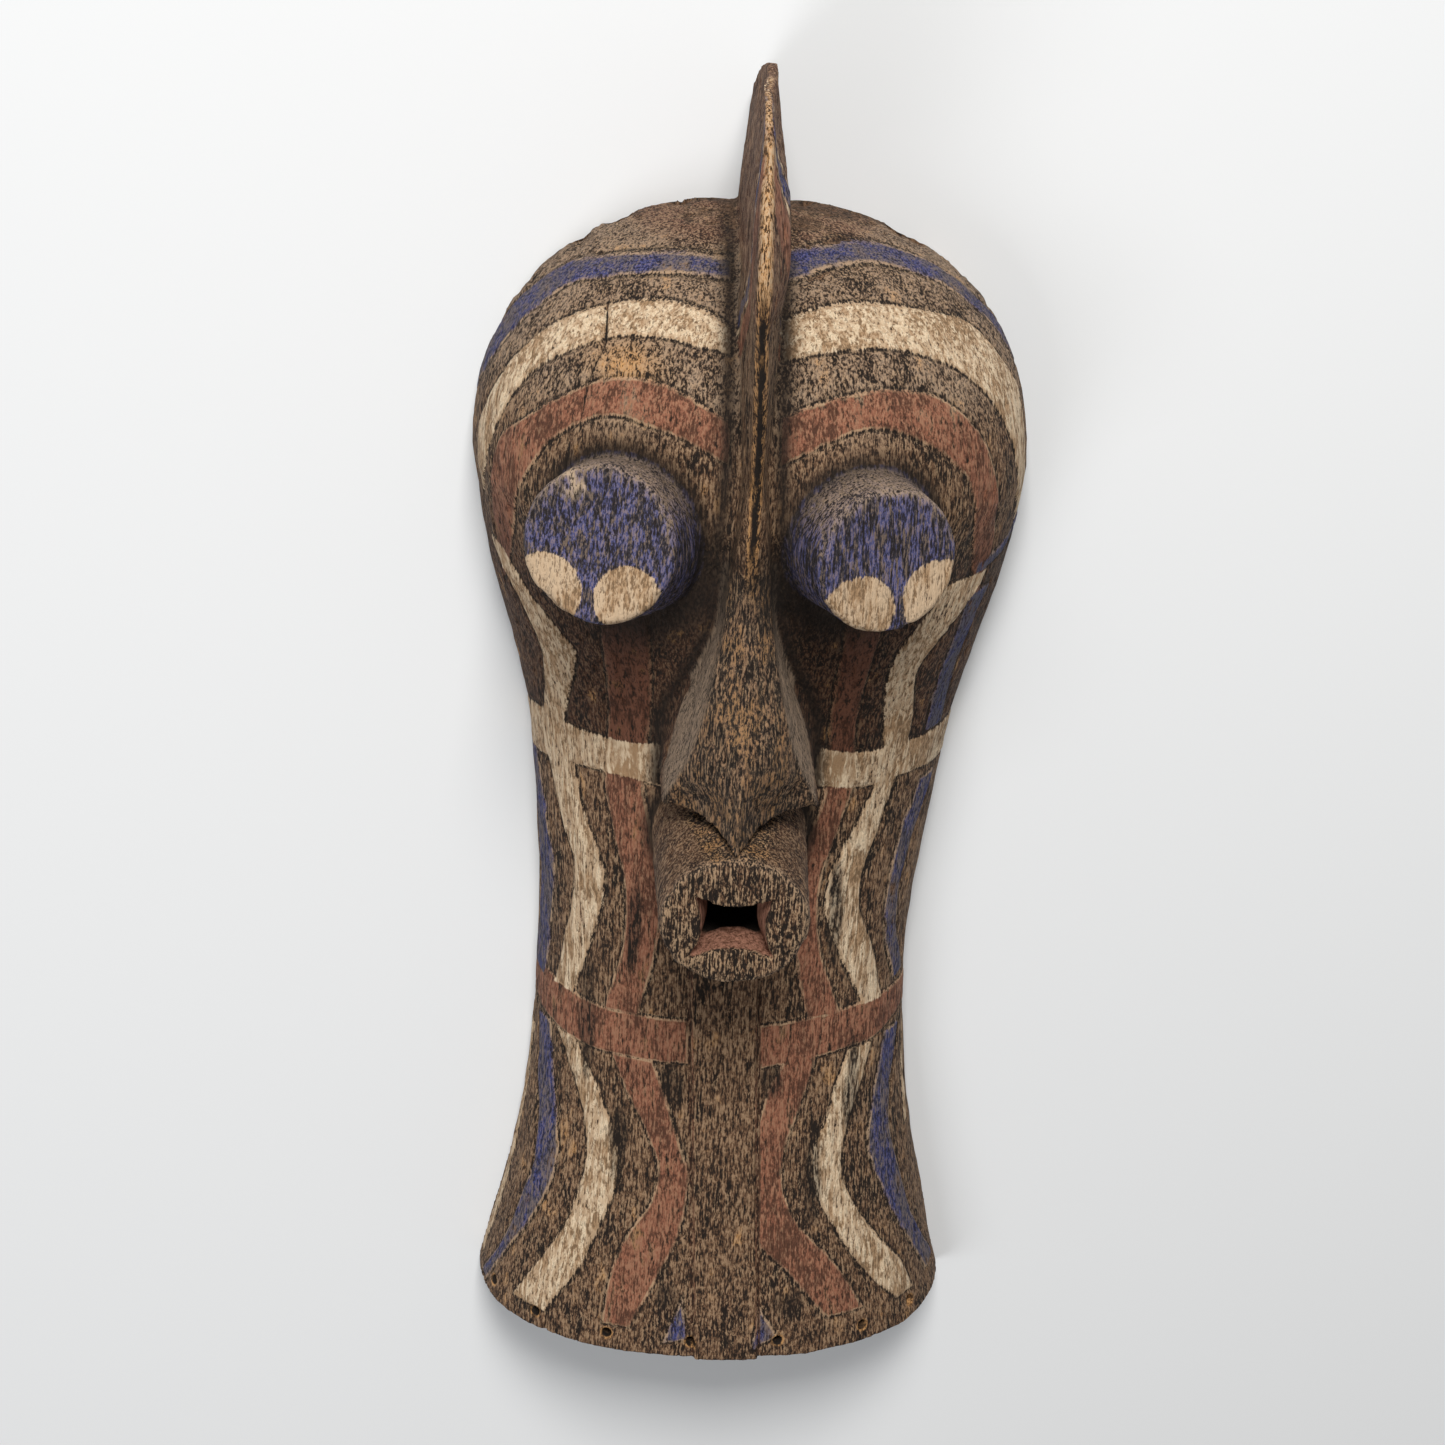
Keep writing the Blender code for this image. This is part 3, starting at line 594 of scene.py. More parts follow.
def marks_on(at):
    """Every painted or carved mark, as numbers at each point of the carving."""
    marks = {}
    outside = at.z > 0.07
    blade = (smooth_curve(BLADE_PLACES, BLADE_ROOTS, at.y) - at.blade) * 1000.0
    front = (smooth_curve(BLADE_PLACES, BLADE_FRONTS, at.y) - at.blade) * 1000.0
    blade = np.where(at.y < NOSE_FOOT, -20.0, np.minimum(blade, (at.form - 0.97) * 200.0))
    left_drum = (LEFT_DRUM_RADIUS - np.hypot(at.left_eye[:, 0], at.left_eye[:, 1])) * 1000.0
    right_drum = (RIGHT_DRUM_RADIUS - np.hypot(at.right_eye[:, 0], at.right_eye[:, 1])) * 1000.0
    spout = (SPOUT_DRUM_RADIUS - np.hypot(at.spout[:, 0], at.spout[:, 1])) * 1000.0
    left_drum = np.where(outside & (at.form > 0.98), left_drum, -20.0)
    right_drum = np.where(outside & (at.form > 0.98), right_drum, -20.0)
    spout = np.where(outside & (at.form > 0.9), spout, -20.0)
    strip = STRIP_HALF - np.abs(at.points[:, 0] - np.interp(at.y, STRIP_PLACES, STRIP_X))
    strip = np.where((at.y < -0.10) & (at.z > 0.05) & ~at.hollow, strip * 1000.0, -20.0)
    added = union(blade, left_drum, right_drum, spout)
    off_face = np.where(at.hollow | (at.z < 0.002), -20.0, 20.0)
    blue = union(blue_bands(at), triangle(at, [(-12, -426), (-19, -462), (-10, -458)]),
                 triangle(at, [(17, -431), (15, -464), (25, -457)]))
    face = {"blue": blue, "white": white_bands(at), "red": np.minimum(red_bands(at), -strip)}
    for name, band in face.items():
        face[name] = np.minimum.reduce([band, -added, off_face])
    past = np.clip((at.y - RIDGE_PLACES[-1]) / (CREST_TIP_Y - RIDGE_PLACES[-1]), 0.0, 1.0)
    fall = CREST_FALL * (1.0 - np.sqrt(1.0 - past * past))
    ridge = smooth_curve(RIDGE_PLACES, RIDGE_HEIGHTS, at.y) - fall - at.z
    on_crest = (at.y > NOSE_TOP) & (at.blade < 0.0185) & (at.form > 1.0)
    depth = np.where(on_crest, ridge * 1000.0 - 4.0, -20.0)
    slant = at.y * 1000.0 + STRIPE_SLANT * depth
    marks["edge"] = np.where(on_crest, -20.0, union(face["blue"], face["white"], face["red"]))
    for name, first, last in CREST_STRIPES:
        stripe = np.minimum.reduce([slant - first, last - slant, depth]) / math.hypot(1.0, STRIPE_SLANT)
        face[name] = union(face[name], np.where(on_crest, stripe, -20.0))
    marks.update(face)
    marks["eye"] = union(left_drum, right_drum)
    left_moons = moons(at.left_eye, left_drum, LEFT_MOONS)
    marks["moon"] = union(left_moons, moons(at.right_eye, right_drum, RIGHT_MOONS))
    left_rim = rim_of(at.left_eye, LEFT_RIM_RADIUS, left_drum)
    right_rim = rim_of(at.right_eye, RIGHT_RIM_RADIUS, right_drum)
    marks["rim"] = union(left_rim, right_rim, rim_of(at.spout, SPOUT_RIM_RADIUS, spout))
    marks["ridge"] = step(0.006 - ridge, 0.0, 0.005) * on_crest * step(at.y, 0.352, 0.372)
    marks["spout"] = spout
    marks["lips"] = np.minimum(spout, (at.spout[:, 2] + 0.003) * 1000.0)
    marks["strip"] = strip
    span = np.minimum((0.175 - at.y) * 1000.0, (at.y - NOSE_FOOT) * 1000.0)
    marks["nose"] = np.minimum.reduce([blade, span, (at.z - 0.125) * 1000.0])
    marks["front"] = np.minimum.reduce([front, span, (at.z - 0.150) * 1000.0])
    # Painted shade for the creases where the drums, nose, crest and spout rise from the face.
    level_with_face = step(1.10 - at.form, 0.0, 0.08) * (at.form > 0.97)
    marks["crevice"] = np.exp(-((added + 1.0) / 6.0) ** 2) * level_with_face
    return marks


# The lashing holes along the chin rim, and the black spots beside the strip:
# middle, half-width and half-height, in metres.
HOLES_X = (-0.163, -0.131, -0.078, -0.016, 0.048, 0.112, 0.151)
HOLES_Y = -0.4595
TAR_SPOTS = (
    (-0.039, -0.250, 0.010, 0.020),
    (0.030, -0.248, 0.009, 0.013),
    (-0.076, -0.300, 0.007, 0.040),
    (-0.100, -0.205, 0.006, 0.050),
    (0.064, -0.330, 0.008, 0.040),
    (0.090, -0.260, 0.006, 0.040),
    (-0.038, -0.425, 0.010, 0.012),
    (0.050, -0.430, 0.016, 0.010),
    (-0.070, -0.130, 0.006, 0.050),
    (0.070, -0.120, 0.006, 0.055),
)

# The split in the forehead, as angle and height, and the deeper hurts in the
# nose: middle, width and depth, in metres.
SPLIT = ((-39, 252), (-40, 276), (-40, 297), (-45, 316))
GOUGES = (
    ((-0.020, 0.054, 0.205), 0.0055, 0.0055),
    ((-0.024, 0.066, 0.200), 0.0050, 0.0030),
    ((0.034, 0.018, 0.178), 0.0065, 0.0035),
    ((0.006, 0.078, 0.203), 0.0055, 0.0022),
    ((0.008, 0.090, 0.200), 0.0045, 0.0020),
)


def from_holes(points):
    """How far each point is from the nearest lashing hole's axis, in mm."""
    wide = float(smooth_curve(FORM_PLACES, FORM_WIDTHS, HOLES_Y))
    tall = float(smooth_curve(FORM_PLACES, FORM_DEPTHS, HOLES_Y))
    nearest = np.full(len(points), 1.0)
    for x in HOLES_X:
        share = abs(x) / wide
        z = tall * (1.0 - share ** SQUARENESS) ** (1.0 / SQUARENESS)
        power = SQUARENESS - 1.0
        out = np.array((math.copysign(share ** power / wide, x), 0.0, (z / tall) ** power / tall))
        out /= np.linalg.norm(out)
        away = points - np.array((CENTRE_X + x, HOLES_Y, z))
        nearest = np.minimum(nearest, np.linalg.norm(away - np.outer(away @ out, out), axis=1))
    return nearest * 1000.0


def split_of(at):
    """The signed distance in mm from the split's line, and half its width there."""
    angles, heights = zip(*SPLIT)
    gap = (at.angle - smooth_curve(heights, angles, at.y * 1000.0)) * np.radians(1.0) * at.round * 1000.0
    half = 0.8 + 1.5 * step(at.y, 0.288, 0.302)
    half *= step(at.y, 0.250, 0.262) * step(0.320 - at.y, 0.0, 0.008) * ~at.hollow * (at.form < 1.1)
    return np.clip(gap, -20.0, 20.0), half


def cuts_in(at, marks):
    """How far each point moves along its normal, in metres."""
    edge = marks["edge"]
    worn = 0.35 + 0.65 * cloud(at.points, 0.03, 3)
    groove = np.exp(-((edge + 1.2) / 1.3) ** 2) * worn
    lip = np.exp(-((edge - 1.2) / 1.2) ** 2) * worn
    strip_groove = np.exp(-((marks["strip"] + 0.5) / 1.3) ** 2)
    from_chin_cut = at.y * 1000.0 + 446.0 + 6.0 * np.sin(at.x * 40.0)
    chin_cuts = np.exp(-(from_chin_cut / 1.2) ** 2) * (marks["strip"] > -20.0)
    move = step(edge, 0.0, 4.0) * 0.0004 - groove * 0.0010 + lip * 0.0004
    move -= strip_groove * 0.0008 + chin_cuts * 0.0010
    broad_lumps = (cloud(at.points, 0.055, 11) - 0.5) * 0.0024
    adze_lumps = (cloud(at.points, (0.016, 0.030, 0.016), 12) - 0.5) * 0.0014
    move += broad_lumps + adze_lumps
    move += (cloud(at.points, (0.0036, 0.018, 0.0036), 13) - 0.5) * 0.0008
    move -= step(cloud(at.points, (0.0040, 0.012, 0.0040), 14), 0.74, 0.92) * 0.0009
    gap, half = split_of(at)
    move -= np.exp(-(gap / np.maximum(half, 0.3)) ** 2) * step(half, 0.2, 0.6) * 0.0040
    dome_edge = step(0.016 - at.z, 0.0, 0.014) * step(at.y, 0.20, 0.27) * ~at.hollow
    move -= dome_edge * (0.0005 + 0.0045 * step(cloud(at.points, (0.013, 0.013, 0.03), 21), 0.35, 0.85))
    notch = np.exp(-(np.hypot(at.points[:, 0] + 0.110, at.points[:, 1] - 0.329) / 0.006) ** 2)
    move -= notch * 0.006 * (at.z < 0.03)
    for place, size, deep in GOUGES:
        reach = np.linalg.norm((at.points - np.array(place)) * np.array((1.0, 0.6, 0.6)), axis=1)
        move -= np.exp(-(reach / size) ** 2) * deep
    nose_pores = step(cloud(at.points, (0.0028, 0.009, 0.0028), 51), 0.62, 0.85)
    move -= step(marks["front"], -1.0, 3.0) * nose_pores * 0.0012
    move -= marks["ridge"] * 0.0018 * step(cloud(at.points, (0.01, 0.012, 0.01), 31), 0.45, 0.9)
    move -= marks["rim"] * 0.0019 * step(cloud(at.points, (0.008, 0.008, 0.008), 41), 0.52, 0.9)
    lip_pores = step(cloud(at.points, (0.0030, 0.0080, 0.0030), 52), 0.62, 0.85)
    move -= step(marks["lips"], 0.0, 2.0) * lip_pores * 0.0010
    return move * np.where(at.hollow, 0.6, 1.0)


fine_mesh = carved_mesh()
fine = Places(points_of(fine_mesh), normals_of(fine_mesh))
moved = fine.points + fine.normals * cuts_in(fine, marks_on(fine))[:, None]
on_rim = fine.points[:, 2] < 0.0008
moved[:, 2] = np.maximum(np.where(on_rim, fine.points[:, 2], moved[:, 2]), 0.0)
fine_mesh.vertices.foreach_set("co", moved.astype(np.float32).ravel())
fine_mesh.update()
holder = bpy.data.objects.new("carving_thinned", fine_mesh)
scene.collection.objects.link(holder)
thin = holder.modifiers.new("thin", "DECIMATE")
thin.ratio = KEEP
carving_mesh = bpy.data.meshes.new_from_object(holder.evaluated_get(bpy.context.evaluated_depsgraph_get()))
bpy.data.objects.remove(holder)
carving_mesh.name = "mask_carving"
at = Places(points_of(carving_mesh), normals_of(carving_mesh))
marks = marks_on(at)


def keep(name, values):
    """Stores one number per point for the wood's material to read."""
    layer = carving_mesh.attributes.new(name, "FLOAT", "POINT")
    layer.data.foreach_set("value", np.asarray(values, np.float32))


# Painted shade: darker below the eyes and on their inner sides towards the nose, joined with the painted
# shade in the creases round the added forms.
left_away = np.hypot(at.left_eye[:, 0], at.left_eye[:, 1]) * 1000.0
right_away = np.hypot(at.right_eye[:, 0], at.right_eye[:, 1]) * 1000.0
painted_shade = step(98.0 - left_away, 0.0, 38.0) * step(at.points[:, 0], -0.135, -0.085)
painted_shade = np.maximum(painted_shade, step(96.0 - right_away, 0.0, 38.0) * step(-at.points[:, 0], -0.120, -0.070))
painted_shade *= step(0.215 - at.y, 0.0, 0.05) * (marks["eye"] < 1.0) * (at.form > 0.97)
painted_shade = np.maximum(painted_shade, marks["crevice"])
cheek = step(at.y, -0.012, 0.010) * step(0.190 - at.y, 0.0, 0.050) * (at.form > 0.97) * (marks["eye"] < 0.0)
forehead = step(at.y, 0.235, 0.275) * (at.form > 0.97) * (marks["crevice"] < 0.9) * (at.form < 1.06)
on_bridge = step(at.y, 0.150, 0.200) * step(0.372 - at.y, 0.0, 0.010) * (at.form > 1.02)
from_ridge = np.clip(at.aside * 1000.0, -20.0, 20.0)
golden = np.exp(-((at.angle + 33.0) / 7.0) ** 2 - ((at.y - 0.289) / 0.009) ** 2)
golden *= (at.form > 0.97) * (at.form < 1.1) * (marks["red"] < 0.0)
# The drums' sides that face up, towards the key light: worn paint together with a painted highlight.
drum_lit_top = step(at.normals[:, 1], 0.25, 0.75) * (marks["eye"] > 1.0)
left_x, left_y = at.left_eye[:, 0], at.left_eye[:, 1]
chips = step(0.017 - np.hypot(left_x + 0.018, (left_y - 0.036) * 1.5), 0.0, 0.012)
chips *= step(cloud(at.points, (0.005, 0.0035, 0.005), 61), 0.50, 0.62) * (marks["eye"] > 0.0)
in_slot = (np.hypot(at.spout[:, 0], at.spout[:, 1]) < 0.042) & (at.spout[:, 2] < -0.0025) & (at.z > 0.075)
for name in ("blue", "white", "red", "eye", "moon", "spout", "lips", "nose", "front", "strip", "edge"):
    keep(name + "_mm", np.clip(marks[name], -20.0, 20.0))
keep("rim", marks["rim"] * np.where(at.y > 0.1, step(at.y, 0.185, 0.225), 0.6))
keep("ridge", marks["ridge"])
keep("cheek", cheek)
keep("forehead", forehead)
keep("bridge", on_bridge)
keep("ridge_mm", from_ridge)
keep("golden", golden)
keep("drum_lit_top", drum_lit_top)
keep("chips", chips)
gap, half = split_of(at)
keep("hole_mm", np.clip(from_holes(at.points), 0.0, 20.0))
tar = [1.0 - np.hypot((at.points[:, 0] - x) / wide, (at.y - y) / tall) for x, y, wide, tall in TAR_SPOTS]
tar = np.maximum.reduce(tar) + 0.8 * cloud(at.points, (0.006, 0.016, 0.006), 71)
keep("tar", step(tar, 0.35, 0.75) * (at.form > 0.97))
keep("gap_mm", gap)
keep("gap_half", half)
keep("inner", at.hollow * 1.0)
keep("painted_shade", painted_shade)
keep("slot", in_slot * step(at.spout[:, 2], -0.029, -0.024))
# Painted shade for the deep end of the mouth's slot.
keep("throat_shade", in_slot * step(-at.spout[:, 2], 0.022, 0.030))
keep("dome", step(at.y, 0.346, 0.354) * (at.form > 0.97))

carving = bpy.data.objects.new("mask_carving", carving_mesh)
scene.collection.objects.link(carving)
for face in carving_mesh.polygons:
    face.use_smooth = True
while len(carving_mesh.materials):
    carving_mesh.materials.pop(index=0)

# The wood's own finish. Colours are linear.
WOOD_BLACK = (0.012, 0.008, 0.006, 1.0)
WOOD_BROWN = (0.125, 0.068, 0.038, 1.0)
WOOD_UMBER = (0.055, 0.021, 0.011, 1.0)
WOOD_TAN = (0.420, 0.290, 0.180, 1.0)
WOOD_BARE = (0.480, 0.255, 0.095, 1.0)
DUST_GREY = (0.270, 0.200, 0.145, 1.0)
PAINT_BLUE = (0.045, 0.056, 0.185, 1.0)
BLUE_WORN = (0.074, 0.068, 0.096, 1.0)
EYE_BLUE = (0.066, 0.072, 0.180, 1.0)
BLUE_BLACK = (0.030, 0.028, 0.040, 1.0)
PAINT_WHITE = (0.510, 0.385, 0.265, 1.0)
WHITE_STAIN = (0.320, 0.205, 0.115, 1.0)
CHALK = (0.700, 0.570, 0.410, 1.0)
PAINT_RED = (0.250, 0.101, 0.060, 1.0)
RED_DARK = (0.120, 0.050, 0.030, 1.0)
SLOT_PINK = (0.330, 0.160, 0.110, 1.0)


class Tree:
    """A short way to add nodes and join them."""

    def __init__(self, tree):
        self.tree = tree

    def add(self, kind, sockets=(), **settings):
        made = self.tree.nodes.new(kind)
        for name, value in settings.items():
            setattr(made, name, value)
        for name, value in dict(sockets).items():
            if isinstance(value, bpy.types.NodeSocket):
                self.tree.links.new(value, made.inputs[name])
            else:
                made.inputs[name].default_value = value
        return made

    def math(self, operation, first, second=0.0, third=0.0):
        sockets = {0: first, 1: second}
        if operation == "MULTIPLY_ADD":
            sockets[2] = third
        return self.add("ShaderNodeMath", sockets, operation=operation).outputs[0]

    def times(self, first, second):
        return self.math("MULTIPLY", first, second)

    def most(self, first, second):
        return self.math("MAXIMUM", first, second)

    def fit(self, value, low, high, new_low=0.0, new_high=1.0):
        sockets = {"Value": value, "From Min": low, "From Max": high, "To Min": new_low, "To Max": new_high}
        return self.add("ShaderNodeMapRange", sockets, interpolation_type="SMOOTHSTEP").outputs[0]

    def noise(self, vector, scale, detail=4.0, roughness=0.55):
        stretched = self.add("ShaderNodeMapping", {"Vector": vector, "Scale": scale}).outputs[0]
        sockets = {"Vector": stretched, "Scale": 1.0, "Detail": detail, "Roughness": roughness}
        return self.add("ShaderNodeTexNoise", sockets).outputs[0]

    def mix(self, share, first, second):
        sockets = {0: share, 6: first, 7: second}
        return self.add("ShaderNodeMix", sockets, data_type="RGBA", blend_type="MIX").outputs[2]

    def number(self, name):
        return self.add("ShaderNodeAttribute", attribute_name=name).outputs["Fac"]


def new_group(name, inputs, outputs):
    group = bpy.data.node_groups.new(name, "ShaderNodeTree")
    for label, kind, value in inputs:
        made = group.interface.new_socket(label, in_out="INPUT", socket_type=kind)
        if value is not None:
            made.default_value = value
    for label, kind in outputs:
        group.interface.new_socket(label, in_out="OUTPUT", socket_type=kind)
    return group


GRAIN_KINDS = ("Grit", "Fibre", "Tone", "Pore", "Fleck", "Patch", "Broad")


def grain_group():
    """Open wood: pores and flecks, long fibres, hand-wide patches and broad clouds."""
    group = new_group("wood_grain", [("Place", "NodeSocketVector", None)],
                      [(label, "NodeSocketFloat") for label in GRAIN_KINDS])
    tree = Tree(group)
    start = tree.add("NodeGroupInput").outputs["Place"]
    streak = tree.noise(start, (780.0, 75.0, 780.0), 3.0, 0.65)
    speck = tree.noise(start, (600.0, 210.0, 600.0), 3.0, 0.75)
    fibre = tree.noise(start, (330.0, 38.0, 330.0), 3.0, 0.6)
    patch = tree.noise(start, (60.0, 30.0, 60.0), 4.0, 0.6)
    broad = tree.noise(start, (15.0, 9.0, 15.0), 3.0, 0.55)
    grit = tree.math("MULTIPLY_ADD", streak, 0.5, tree.times(speck, 0.5))
    tone = tree.math("MULTIPLY_ADD", grit, 0.6, tree.times(fibre, 0.4))
    uneven = tree.math("MULTIPLY_ADD", tree.math("SUBTRACT", patch, 0.5), 0.12, grit)
    pore = tree.fit(uneven, 0.495, 0.445)
    fleck = tree.fit(uneven, 0.510, 0.560)
    sockets = dict(zip(GRAIN_KINDS, (grit, fibre, tone, pore, fleck, patch, broad)))
    tree.add("NodeGroupOutput", sockets)
    return group


def paint_group():
    """How much of a band's old paint is left, from the distance inside its edge."""
    group = new_group("worn_paint", [("Inside", "NodeSocketFloat", 0.0), ("Tone", "NodeSocketFloat", 0.5),
                                     ("Patch", "NodeSocketFloat", 0.5), ("Wear", "NodeSocketFloat", 0.0)],
                      [("Cover", "NodeSocketFloat")])
    tree = Tree(group)
    start = tree.add("NodeGroupInput").outputs
    ragged = tree.math("MULTIPLY_ADD", tree.math("SUBTRACT", start["Tone"], 0.5), 9.0, start["Inside"])
    inside = tree.fit(ragged, -0.5, 0.7)
    chance = tree.math("MULTIPLY_ADD", start["Patch"], 0.55, tree.times(start["Tone"], -1.0))
    lost = tree.fit(tree.math("ADD", chance, start["Wear"]), -0.16, -0.06)
    cover = tree.times(inside, tree.math("SUBTRACT", 1.0, lost))
    tree.add("NodeGroupOutput", {"Cover": cover})
    return group


grain = grain_group()
paint = paint_group()
wood = bpy.data.materials.new("carved_wood_painted")
wood.use_nodes = True
tree = Tree(wood.node_tree)
shader = wood.node_tree.nodes["Principled BSDF"]
place = tree.add("ShaderNodeTexCoord").outputs["Object"]
kinds = tree.add("ShaderNodeGroup", {"Place": place}, node_tree=grain).outputs
grit, fibre, tone, patch, broad = (kinds[name] for name in ("Grit", "Fibre", "Tone", "Patch", "Broad"))
pore, fleck = kinds["Pore"], kinds["Fleck"]

# Bare wood: brown, reddish dark on the cheeks and grey with dust on the
# forehead, with raw orange places here and there.
leaning = tree.math("MULTIPLY_ADD", patch, 0.32, tree.math("MULTIPLY_ADD", broad, 0.22, tone))
brown = tree.mix(tree.times(tree.number("cheek"), 0.85), WOOD_BROWN, WOOD_UMBER)
dusty = tree.times(tree.number("forehead"), tree.fit(leaning, 0.68, 0.86, 0.1, 0.85))
brown = tree.mix(dusty, brown, DUST_GREY)
colour = tree.mix(tree.fit(leaning, 0.67, 0.79), WOOD_BLACK, brown)
raw = tree.times(tree.fit(patch, 0.60, 0.70), tree.fit(tone, 0.44, 0.56, 0.0, 0.75))
colour = tree.mix(raw, colour, WOOD_BARE)
colour = tree.mix(tree.times(tree.number("dome"), tree.fit(tone, 0.40, 0.56, 0.45, 0.90)), colour, RED_DARK)

# Where the wood is worn or cut: the sides of the nose and spout are smoother
# and greyer, the crest's ridge and the drums' rims are rubbed to bare wood.
smooth_wood = tree.mix(tree.fit(tone, 0.30, 0.48), WOOD_BROWN, DUST_GREY)
colour = tree.mix(tree.fit(tree.number("nose_mm"), 1.0, 4.0, 0.0, 0.85), colour, smooth_wood)
colour = tree.mix(tree.fit(tree.number("spout_mm"), 0.5, 2.0, 0.0, 0.50), colour, WOOD_UMBER)
open_wood = tree.mix(tree.fit(tone, 0.48, 0.56), WOOD_BLACK, WOOD_BROWN)
opened = tree.most(tree.fit(tree.number("front_mm"), -1.0, 1.5), tree.fit(tree.number("lips_mm"), -0.5, 1.0))
colour = tree.mix(tree.times(opened, 0.85), colour, open_wood)


def painted(colour, inside, fresh, old, wear):
    """Lays one worn pigment over the colour below."""
    sockets = {"Inside": inside, "Tone": tone, "Patch": patch, "Wear": wear}
    cover = tree.add("ShaderNodeGroup", sockets, node_tree=paint).outputs["Cover"]
    ageing = tree.math("MULTIPLY_ADD", patch, 0.5, tone)
    return tree.mix(cover, colour, tree.mix(tree.fit(ageing, 0.68, 0.80), old, fresh))


on_cheek = tree.number("cheek")
red_fresh = tree.mix(tree.times(on_cheek, 0.80), PAINT_RED, RED_DARK)
red_old = tree.mix(tree.times(on_cheek, 0.85), RED_DARK, WOOD_UMBER)
streaked = tree.mix(tree.fit(fibre, 0.47, 0.57), PAINT_WHITE, CHALK)
white_fresh = tree.mix(tree.times(on_cheek, 0.30), streaked, WHITE_STAIN)
colour = painted(colour, tree.number("red_mm"), red_fresh, red_old, 0.03)
colour = painted(colour, tree.number("blue_mm"), BLUE_WORN, PAINT_BLUE, 0.0)
colour = painted(colour, tree.number("white_mm"), white_fresh, WHITE_STAIN, -0.02)
striped = tree.mix(tree.fit(fibre, 0.46, 0.54), BLUE_BLACK, EYE_BLUE)
colour = painted(colour, tree.number("eye_mm"), striped, tree.mix(0.4, striped, BLUE_BLACK), -0.06)
colour = painted(colour, tree.number("moon_mm"), PAINT_WHITE, WHITE_STAIN, -0.08)

# Painted shade: a dark line in the groove outside each band's edge. Painted highlight: a pale line on the
# band's lip just inside it.
edge = tree.math("MULTIPLY_ADD", tree.math("SUBTRACT", tone, 0.5), 6.0, tree.number("edge_mm"))
groove_shade = tree.times(tree.fit(edge, -2.4, -1.5), tree.fit(edge, 0.0, -0.7))
groove_shade = tree.times(groove_shade, tree.fit(patch, 0.38, 0.55, 0.40, 1.0))
lip_highlight = tree.times(tree.fit(edge, -0.3, 0.3), tree.fit(edge, 1.7, 1.0))
lip_highlight = tree.times(lip_highlight, tree.fit(patch, 0.42, 0.56, 0.15, 0.70))
lip_highlight = tree.times(lip_highlight, tree.math("SUBTRACT", 1.0, tree.times(on_cheek, 0.8)))
colour = tree.mix(groove_shade, colour, WOOD_BLACK)
colour = tree.mix(lip_highlight, colour, WOOD_TAN)
strip = tree.number("strip_mm")
# Painted shade: a dark line in the grooves along both sides of the chin strip.
strip_groove_shade = tree.times(tree.fit(strip, -2.2, -1.0), tree.fit(strip, 0.8, 0.0))
colour = tree.mix(tree.times(strip_groove_shade, 0.9), colour, WOOD_UMBER)
strip_lip = tree.times(tree.fit(strip, 0.6, 1.1), tree.fit(strip, 2.4, 1.7))
colour = tree.mix(tree.times(strip_lip, tree.fit(patch, 0.42, 0.56, 0.1, 0.6)), colour, PAINT_RED)

worn_and_lit = tree.times(tree.number("rim"), tree.fit(tone, 0.42, 0.54, 0.0, 0.75))
# The drums' upward sides are paled to dusty grey: worn paint together with a painted highlight.
worn_and_lit = tree.most(worn_and_lit, tree.times(tree.number("drum_lit_top"), tree.fit(leaning, 0.68, 0.80, 0.0, 0.8)))
colour = tree.mix(worn_and_lit, colour, DUST_GREY)
colour = tree.mix(tree.times(tree.number("chips"), 0.9), colour, PAINT_WHITE)
bared = tree.times(tree.number("ridge"), tree.fit(tone, 0.40, 0.50, 0.1, 1.0))
colour = tree.mix(bared, colour, tree.mix(tree.fit(grit, 0.45, 0.60), WOOD_BARE, PAINT_WHITE))
colour = tree.mix(tree.times(tree.number("golden"), tree.fit(tone, 0.42, 0.54, 0.1, 1.0)), colour, WOOD_BARE)

# Grit lies over everything: black pores, and tan flecks between them, thinner
# over the white paint and thicker over the open wood.
on_moon = tree.fit(tree.number("moon_mm"), 0.0, 1.0)
white_here = tree.most(tree.fit(tree.number("white_mm"), 0.0, 1.0), on_moon)
black_share = tree.math("MULTIPLY_ADD", white_here, -0.40, 0.85)
black_share = tree.math("MULTIPLY_ADD", tree.fit(tree.number("red_mm"), 0.0, 1.0), -0.40, black_share)
black_share = tree.math("MULTIPLY_ADD", opened, 0.15, black_share)
colour = tree.mix(tree.times(pore, black_share), colour, WOOD_BLACK)
tan_share = tree.math("MULTIPLY_ADD", tree.number("cheek"), -0.30, 0.50)
tan_share = tree.math("MULTIPLY_ADD", opened, 0.20, tan_share)
tan_share = tree.math("MULTIPLY_ADD", tree.fit(tree.number("eye_mm"), 0.0, 1.0), -0.22, tan_share)
tan_share = tree.math("MULTIPLY_ADD", tree.fit(tree.number("red_mm"), 0.0, 1.0), -0.25, tan_share)
tan_share = tree.math("MULTIPLY_ADD", tree.fit(tree.number("blue_mm"), 0.0, 1.0), -0.25, tan_share)
orange = tree.times(tree.fit(tree.number("front_mm"), -1.0, 1.5), tree.fit(patch, 0.40, 0.60, 0.1, 0.8))
fleck_colour = tree.mix(orange, WOOD_TAN, WOOD_BARE)
colour = tree.mix(tree.times(fleck, tree.most(tan_share, 0.0)), colour, fleck_colour)

# Painted shade: black laid below and beside the eyes and in the creases round the drums, nose, crest and
# spout.
colour = tree.mix(tree.times(tree.number("painted_shade"), 0.90), colour, WOOD_BLACK)

def from_wavering(name, amount):
    """How far, in mm, a point lies from a stored line that wavers with the grain."""
    shift = tree.math("SUBTRACT", tone, 0.5)
    return tree.math("ABSOLUTE", tree.math("MULTIPLY_ADD", shift, amount, tree.number(name)))


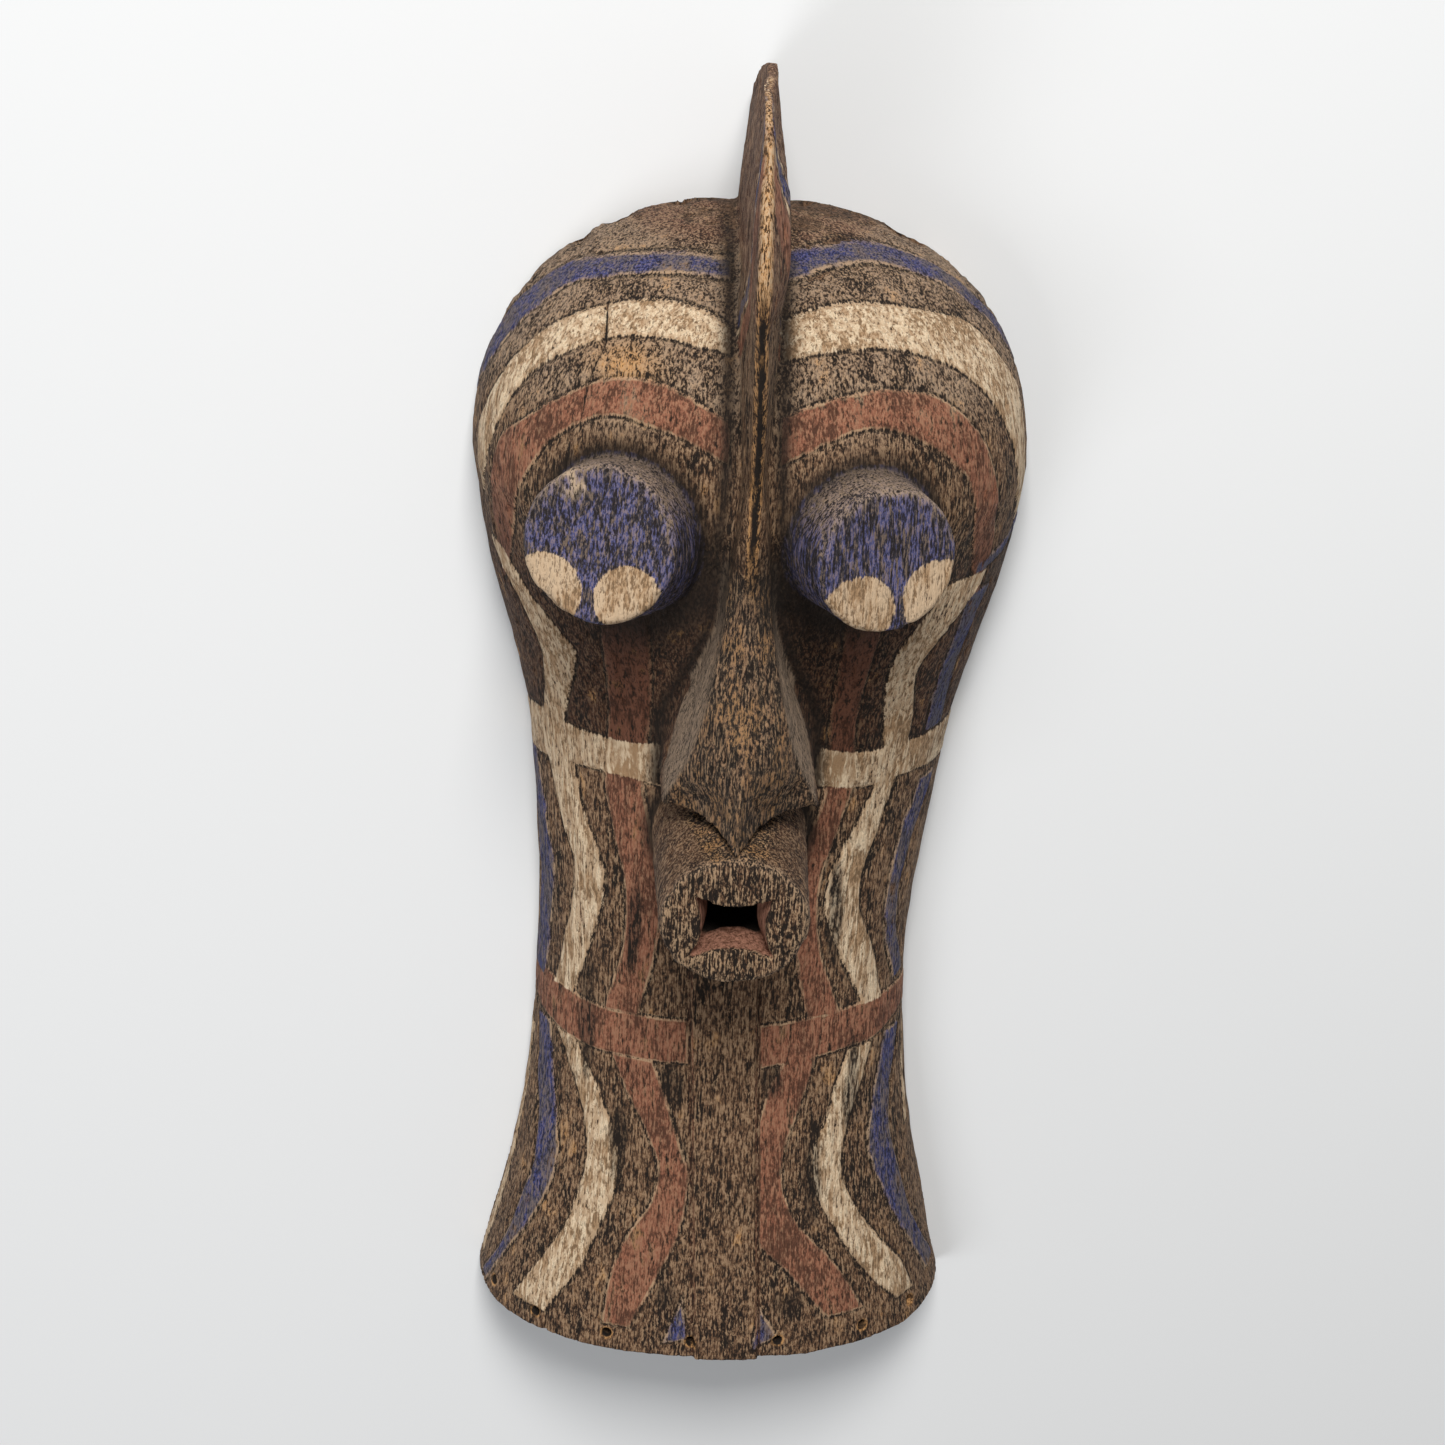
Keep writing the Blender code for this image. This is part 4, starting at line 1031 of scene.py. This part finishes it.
# The black groove down the bridge, with raw orange wood along both its sides.
aside = from_wavering("ridge_mm", 9.0)
raw_side = tree.times(tree.fit(aside, 4.6, 3.0), tree.fit(grit, 0.46, 0.56, 0.0, 0.75))
colour = tree.mix(tree.times(tree.number("bridge"), raw_side), colour, WOOD_BARE)
dark_core = tree.times(tree.fit(aside, 2.5, 1.3), tree.fit(patch, 0.36, 0.50, 0.45, 1.0))
colour = tree.mix(tree.times(tree.number("bridge"), dark_core), colour, WOOD_BLACK)
colour = tree.mix(tree.times(tree.number("tar"), tree.fit(tone, 0.56, 0.44, 0.5, 1.0)), colour, WOOD_BLACK)
hole = tree.number("hole_mm")
around_hole = tree.times(tree.fit(hole, 6.0, 4.2), tree.fit(grit, 0.46, 0.54, 0.1, 0.8))
colour = tree.mix(around_hole, colour, WOOD_BARE)
# Painted shade: black inside the lashing holes.
colour = tree.mix(tree.fit(hole, 4.2, 3.4), colour, WOOD_BLACK)
# Painted shade: black down the split in the forehead.
gap = from_wavering("gap_mm", 6.0)
split = tree.fit(tree.math("SUBTRACT", tree.number("gap_half"), gap), -0.3, 0.2)
colour = tree.mix(tree.times(split, tree.fit(tree.number("gap_half"), 0.1, 0.4)), colour, WOOD_BLACK)
slot_wood = tree.mix(tree.fit(tone, 0.42, 0.56), RED_DARK, SLOT_PINK)
colour = tree.mix(tree.times(tree.number("slot"), 0.9), colour, slot_wood)
# Painted shade: the deep end of the mouth's slot is painted black.
colour = tree.mix(tree.number("throat_shade"), colour, WOOD_BLACK)
inner_wood = tree.mix(tree.fit(tone, 0.40, 0.60), WOOD_BLACK, WOOD_BROWN)
colour = tree.mix(tree.times(tree.number("inner"), 0.8), colour, inner_wood)

relief = tree.math("MULTIPLY_ADD", grit, 0.75, tree.times(fibre, 0.5))
bump = tree.add("ShaderNodeBump", {"Strength": 1.0, "Distance": 0.0026, "Height": relief}).outputs[0]
tree.tree.links.new(colour, shader.inputs["Base Color"])
tree.tree.links.new(bump, shader.inputs["Normal"])
tree.tree.links.new(tree.fit(tone, 0.35, 0.65, 0.92, 0.70), shader.inputs["Roughness"])
shader.inputs["Specular IOR Level"].default_value = 0.25
carving_mesh.materials.append(wood)
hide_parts("mask")
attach(carving, "root")
